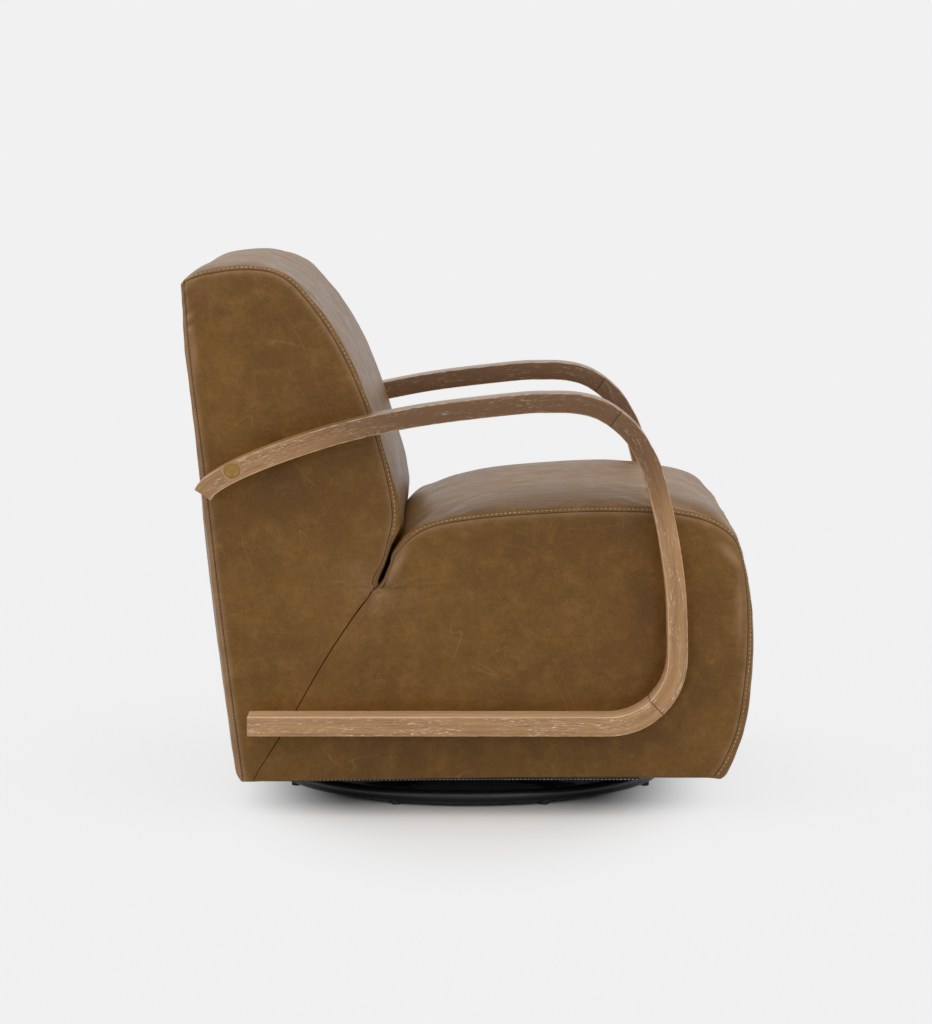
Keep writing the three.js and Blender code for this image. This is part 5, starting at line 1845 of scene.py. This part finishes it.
@dataclass
class ArmLoops:
    """The two bentwood arms: each is three lengths of oak joined end to end, with a brass cap."""

    sizes: ArmSizes
    finishes: Finishes
    step: float = 0.007

    def build(self) -> None:
        """Makes both arms and their caps."""
        line = self.sizes.centreline()
        total = float(lengths(line)[-1])
        gap = self.sizes.joint_gap / 2
        shoulder, corner = self.sizes.shoulder * total, self.sizes.corner * total
        spans = {"arm_top": (0.0, shoulder - gap), "arm_front": (shoulder + gap, corner - gap)}
        spans["arm_rail"] = (corner + gap, total)
        for side, sign in SIDES.items():
            guide = self.guide(line, sign * (self.sizes.inner + self.sizes.width / 2))
            for number, (stem, span) in enumerate(spans.items()):
                name = f"{stem}_{side}"
                obj = self.bar(f"oak_{name}", span, guide, number + (0 if sign > 0 else 3), total)
                if stem == "arm_top":
                    self.bore(obj, sign)
                smooth(obj, 32.0)
                dress(obj, self.finishes.oak)
                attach(obj, "chair")
                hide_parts(name)
                LOG.info("%s bent from %.0f mm of oak", name, (span[1] - span[0]) * 1000)
            bpy.data.objects.remove(guide)
            self.cap(side, sign)

    def guide(self, line: np.ndarray, x: float) -> Object:
        """Makes the curve that the oak is bent along."""
        curve = bpy.data.curves.new("bend_guide", "CURVE")
        curve.dimensions = "3D"
        run = curve.splines.new("POLY")
        run.points.add(len(line) - 1)
        flat = np.stack((np.full(len(line), x), -line[:, 0], line[:, 1], np.ones(len(line))), axis=1)
        run.points.foreach_set("co", flat.ravel())
        obj = bpy.data.objects.new("bend_guide", curve)
        bpy.context.scene.collection.objects.link(obj)
        return obj

    def bar(
        self, name: str, span: tuple[float, float], guide: Object, number: int, total: float
    ) -> Object:
        """Planes a straight bar, rounds its edges and bends it along the guide.

        Args:
            name: The bar's name.
            span: Where it starts and ends along the centreline.
            guide: The curve to bend it along.
            number: A different number for each bar, so that no two have the same grain.
            total: The centreline's length.

        Returns:
            The bent bar.
        """
        s = self.sizes
        start, end = span
        deselect_all()
        bpy.ops.mesh.primitive_cube_add(size=1.0, location=((start + end) / 2, 0, 0))
        obj = bpy.context.object
        obj.scale = (end - start, s.width, s.thickness)
        settle(obj, name)
        select_edges(obj, lambda a, b: abs(a.x - b.x) > s.width)
        bpy.ops.mesh.subdivide(number_cuts=int((end - start) / self.step))
        bpy.ops.object.mode_set(mode="OBJECT")
        corner_y, corner_z = s.width / 2 - 1e-5, s.thickness / 2 - 1e-5

        def long_edge(a: Vector, b: Vector) -> bool:
            """Says whether two points end one of the bar's long edges."""
            on_corner = min(abs(a.y), abs(b.y)) > corner_y and min(abs(a.z), abs(b.z)) > corner_z
            return on_corner and abs(a.x - b.x) > 1e-5

        select_edges(obj, long_edge)
        bpy.ops.mesh.bevel(offset=s.chamfer, segments=3, profile=0.55, affect="EDGES")
        bpy.ops.object.mode_set(mode="OBJECT")
        free = [x for x in (start, end) if x in (0.0, total)]
        for x in (start, end):
            edge = s.free_edge if x in free else s.joint_edge
            select_edges(obj, lambda a, b, x=x: abs(a.x - x) < 1e-5 and abs(b.x - x) < 1e-5)
            bpy.ops.mesh.bevel(offset=edge, segments=2, affect="EDGES")
            bpy.ops.object.mode_set(mode="OBJECT")
        rest = coordinates(obj.data)
        grain = rest.copy()
        grain[:, 0] += number * 3.7
        gaps = [np.abs(rest[:, 0] - x) for x in (start, end) if x not in free]
        set_attribute(obj.data, "joint", np.min(gaps, axis=0))
        share = rest[:, 0] / total
        set_attribute(obj.data, "shaded", smooth_step(0.03, 0.2, share) * (1 - smooth_step(0.4, 0.5, share)))
        bend = obj.modifiers.new("Bend", "CURVE")
        bend.object = guide
        bend.deform_axis = "POS_X"
        apply_modifiers(obj)
        self.stand_straight(obj)
        self.face_grain_inward(obj, grain)
        return obj

    def face_grain_inward(self, obj: Object, grain: np.ndarray) -> None:
        """Turns the grain's third direction towards the middle of the loop."""
        points = coordinates(obj.data)
        away = np.hypot(points[:, 1], points[:, 2] - self.sizes.crest_height / 2)
        upper = grain[:, 2] > 0
        if away[upper].mean() > away[~upper].mean():
            grain[:, 2] *= -1
        set_attribute(obj.data, "grain", grain)

    def stand_straight(self, obj: Object) -> None:
        """Reports a bar whose section has turned on the guide."""
        points = coordinates(obj.data)
        width = float(np.ptp(points[:, 0]))
        if abs(width - self.sizes.width) > 0.001:
            LOG.warning("%s is %.1f mm wide across the chair", obj.name, width * 1000)

    def bore(self, obj: Object, sign: float) -> None:
        """Bores the bolt hole and the counterbore for the cap.

        Args:
            obj: The arm's upper length.
            sign: 1 for the left arm and -1 for the right one.
        """
        s = self.sizes
        outer = s.inner + s.width
        spare = 0.005
        for radius, low in ((s.bolt_bore, s.inner - spare), (s.cap_bore, outer - s.cap_depth)):
            high = outer + spare
            deselect_all()
            bpy.ops.mesh.primitive_cylinder_add(
                vertices=64, radius=radius, depth=high - low, rotation=(0, math.pi / 2, 0),
                location=(sign * (low + high) / 2, s.bolt_reach, s.bolt_height),
            )
            cut_with(obj, settle(bpy.context.object, "bore"))

    def cap(self, side: str, sign: float) -> None:
        """Turns the brass cap bolt.

        Args:
            side: The side's name.
            sign: 1 for the left arm and -1 for the right one.
        """
        s = self.sizes
        outer = s.inner + s.width
        head = outer - 0.006
        profile = (
            (0, 0.252), (0.0044, 0.252), (0.005, 0.2526), (0.005, head), (0.0109, head),
            (0.0115, head + 0.0006), (0.0115, outer - 0.0007), (0.0113, outer - 0.0002),
            (0.0108, outer + 0.0001), (0.0092, outer + 0.0001), (0.0087, outer - 0.0001),
            (0.0085, outer - 0.0008), (0.0081, outer - 0.0009), (0.004, outer - 0.0008),
            (0, outer - 0.00075),
        )
        obj = turned(f"cap_bolt_{side}", profile, 72, Axis.X)
        if sign < 0:
            obj.data.transform(Matrix.Rotation(math.pi, 4, "Z"))
        obj.data.transform(Matrix.Translation((0, s.bolt_reach, s.bolt_height)))
        smooth(obj, 38.0)
        dress(obj, self.finishes.brass)
        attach(obj, "chair")
        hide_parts(f"arm_cap_bolt_{side}")


# Base and hidden structure


@dataclass
class RingBase:
    """The floor ring and its glides; the spider is dressed with the structure."""

    finishes: Finishes
    radius: float = 0.285
    tube: float = 0.0102
    height: float = 0.0142
    glide_radius: float = 0.0068
    glides: int = 8

    def build(self) -> None:
        """Makes the ring and the glides."""
        deselect_all()
        bpy.ops.mesh.primitive_torus_add(
            major_segments=192, minor_segments=28, major_radius=self.radius, minor_radius=self.tube,
            location=(0, 0, self.height),
        )
        ring = settle(bpy.context.object, "floor_ring")
        smooth(ring, 180.0)
        dress(ring, self.finishes.black)
        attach(ring, "base")
        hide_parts("base_ring")
        r = self.glide_radius
        profile = (
            (0, 0), (r - 0.0016, 0), (r - 0.0009, 0.0002), (r - 0.0003, 0.0007), (r, 0.0014),
            (r, self.height), (0, self.height),
        )
        for k in range(self.glides):
            angle = (k + 0.5) * math.tau / self.glides
            obj = turned(f"floor_glide_{k + 1}", profile, 32, Axis.Z)
            obj.data.transform(
                Matrix.Translation((self.radius * math.cos(angle), self.radius * math.sin(angle), 0))
            )
            smooth(obj, 50.0)
            dress(obj, self.finishes.rubber)
            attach(obj, "base")
            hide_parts(f"foot_glide_{k + 1}")
        LOG.info("ring base with %d glides", self.glides)


@dataclass
class RockerSprings:
    """The coil springs between cradle and saddle, wound at rest; the real ones shorten and stretch as the
    chair rocks.
    """

    finishes: Finishes
    radius: float = 0.0155
    wire: float = 0.0025
    turns: int = 5
    side: float = 0.058
    reach: float = 0.072
    low: float = 0.0402
    high: float = 0.1150
    seated: float = 0.003

    def build(self) -> None:
        """Winds the four springs, each held by the cradle below and the saddle above."""
        for end, along in (("front", -1.0), ("rear", 1.0)):
            for side, sign in SIDES.items():
                obj = self.coil(f"coil_spring_{end}_{side}")
                x, y = sign * self.side, along * self.reach
                obj.data.transform(Matrix.Translation((x, y, 0.0)))
                dress(obj, self.finishes.spring)
                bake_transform(obj)
                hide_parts(f"rocker_spring_{end}_{side}")
        LOG.info("four rocker springs")

    def coil(self, name: str) -> Object:
        """Winds one spring round the upright axis."""
        deselect_all()
        bpy.ops.mesh.primitive_circle_add(
            vertices=14, radius=self.wire, location=(self.radius, 0, self.low), rotation=(math.pi / 2, 0, 0)
        )
        obj = settle(bpy.context.object, name)
        wind = obj.modifiers.new("Wind", "SCREW")
        wind.axis = "Z"
        wind.angle = math.tau
        wind.screw_offset = (self.high - self.low) / self.turns
        wind.iterations = self.turns
        wind.steps = 28
        wind.render_steps = 28
        apply_modifiers(obj)
        bpy.ops.object.mode_set(mode="EDIT")
        bpy.ops.mesh.select_all(action="SELECT")
        bpy.ops.mesh.fill_holes(sides=0)
        bpy.ops.object.mode_set(mode="OBJECT")
        tidy_normals(obj)
        smooth(obj, 50.0)
        return obj


@dataclass
class Structure:
    """The frame, springs, bearing and rocker, which keep their CAD shapes and get their finishes."""

    finishes: Finishes

    def build(self, nodes: dict[str, Object]) -> None:
        """Dresses every CAD node that stays in view, by the start of its name."""
        f = self.finishes
        groups = (
            (f.plywood, ("frame_",)),
            (f.spring, ("seat_spring",)),
            (f.black, ("rocker_", "mount_rail", "base_spider")),
            (f.zinc, ("mount_bolt", "bearing_", "center_", "shaft_clip", "rock_shaft", "rail_screw")),
            (f.nylon, ("shaft_bush",)),
            (f.cover, ("dust_cover",)),
        )
        for name, obj in nodes.items():
            for material, stems in groups:
                if name.startswith(stems):
                    dress(obj, material)


# Studio


@dataclass(frozen=True)
class Lamp:
    """One broad, soft lamp: where it shines towards, how strongly, and how many degrees wide it is."""

    name: str
    aim: tuple[float, float, float]
    strength: float
    spread: float

    def hang(self) -> None:
        """Makes the lamp."""
        data = bpy.data.lights.new(self.name, "SUN")
        data.energy = self.strength
        data.angle = math.radians(self.spread)
        obj = bpy.data.objects.new(self.name, data)
        obj.rotation_euler = Vector(self.aim).to_track_quat("-Z", "Y").to_euler()
        bpy.context.scene.collection.objects.link(obj)


@dataclass(frozen=True)
class Studio:
    """The pale floor, the soft light and the camera."""

    place: tuple[float, float, float] = (-5.690, -0.013, 1.007)
    pitch: float = 6.05
    yaw: float = 0.2
    lens: float = 131.48
    backdrop: Colour = (241, 241, 241)
    floor_pale: Colour = (230, 230, 230)
    floor_dull: Colour = (229, 229, 229)
    floor_size: float = 160.0
    floor_drop: float = 0.0004
    lamps: tuple[Lamp, ...] = (
        Lamp("overhead", (0.12, 0.0, -1.0), 0.95, 50.0),
        Lamp("by_the_camera", (1.0, 0.4, -0.75), 0.62, 50.0),
        Lamp("far_side", (-1.0, 0.0, -0.8), 0.25, 80.0),
        Lamp("front_side", (0.0, 1.0, -1.2), 0.08, 90.0),
        Lamp("rear_side", (0.5, -1.0, -0.8), 0.7, 90.0),
    )
    sky: float = 0.48
    shadow_across: float = 1.0
    shadow_along: float = 0.38
    glow: float = 0.86

    def build(self) -> None:
        """Makes the camera, the lamps, the floor and the world."""
        scene = bpy.context.scene
        scene.view_settings.view_transform = "Standard"
        self.camera(scene)
        for lamp in self.lamps:
            lamp.hang()
        self.floor()
        self.world(scene)

    def camera(self, scene: Scene) -> None:
        """Places the camera where the photograph was taken from."""
        data = bpy.data.cameras.new("studio_camera")
        data.lens = self.lens
        data.sensor_width = 36.0
        data.clip_end = 100.0
        obj = bpy.data.objects.new("studio_camera", data)
        scene.collection.objects.link(obj)
        pitch, yaw = math.radians(self.pitch), math.radians(self.yaw)
        ahead = Vector((math.cos(pitch) * math.cos(yaw), math.cos(pitch) * math.sin(yaw), -math.sin(pitch)))
        obj.rotation_euler = ahead.to_track_quat("-Z", "Y").to_euler()
        obj.location = self.place
        scene.camera = obj

    def floor(self) -> None:
        """Lays the pale floor, which keeps the chair's shadow near the base; further out a painted glow mixes
        what the camera and reflections see toward the backdrop's colour, fading the shadow over an oval round
        the chair and covering the far floor.
        """
        deselect_all()
        bpy.ops.mesh.primitive_plane_add(size=self.floor_size, location=(0, 0, -self.floor_drop))
        obj = settle(bpy.context.object, "studio_floor")
        paint = Paint("studio_floor")
        place = paint.surface()
        away = paint.node("ShaderNodeVectorMath", {0: place}, operation="LENGTH").outputs["Value"]
        oval = paint.stretch(place, (1 / self.shadow_across, 1 / self.shadow_along, 1.0))
        outside = paint.node("ShaderNodeVectorMath", {0: oval}, operation="LENGTH").outputs["Value"]
        tone = paint.noise(place, 3.0, 2.0, 0.5)
        dull = paint.between(tone, 0.3, 0.7, 0.0, 0.1)
        pale = paint.mix(dull, linear(*self.floor_pale), linear(*self.floor_dull))
        paint.finish(pale, 0.95, None, Specular_IOR_Level=0.0)
        seen = paint.node("ShaderNodeEmission", {"Color": linear(*self.backdrop), "Strength": 1.0})
        # Painted glow: beyond an oval round the chair the floor shows the backdrop's colour to the camera and
        # in reflections, fading the chair's shadow there.
        share = paint.between(outside, 0.5, 1.0, 0.0, self.glow)
        share = paint.math("MAXIMUM", share, paint.between(away, 2.5, 9.0))
        share = paint.math("MULTIPLY", share, paint.seen_directly())
        both = {0: share, 1: paint.shader.outputs["BSDF"], 2: seen.outputs["Emission"]}
        mix = paint.node("ShaderNodeMixShader", both)
        paint.feed(paint.nodes["Material Output"].inputs["Surface"], mix.outputs["Shader"])
        dress(obj, paint.material)

    def world(self, scene: Scene) -> None:
        """Makes the world: an even sky, and the pale backdrop where the camera or a gloss sees it."""
        world = bpy.data.worlds.new("studio_sky")
        world.use_nodes = True
        scene.world = world
        wiring = Wiring(world.node_tree)
        sky = wiring.nodes["Background"]
        wiring.feed(sky.inputs["Color"], (1.0, 1.0, 1.0, 1.0))
        wiring.feed(sky.inputs["Strength"], self.sky)
        seen = wiring.node("ShaderNodeBackground", {"Color": linear(*self.backdrop), "Strength": 1.0})
        both = {0: wiring.seen_directly(), 1: sky.outputs["Background"], 2: seen.outputs["Background"]}
        mix = wiring.node("ShaderNodeMixShader", both)
        wiring.feed(wiring.nodes["World Output"].inputs["Surface"], mix.outputs["Shader"])


def main() -> None:
    """Builds the studio and the chair, piece by piece."""
    logging.basicConfig(level=logging.INFO, format="%(name)s: %(message)s")
    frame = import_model()
    Studio().build()
    finishes = Finishes()
    Structure(finishes).build(frame["nodes"])
    Upholstery(BodySizes(), finishes).build()
    HemTape(finishes).build()
    ArmLoops(ArmSizes(), finishes).build()
    RingBase(finishes).build()
    RockerSprings(finishes).build()


if __name__ == "__main__":
    main()
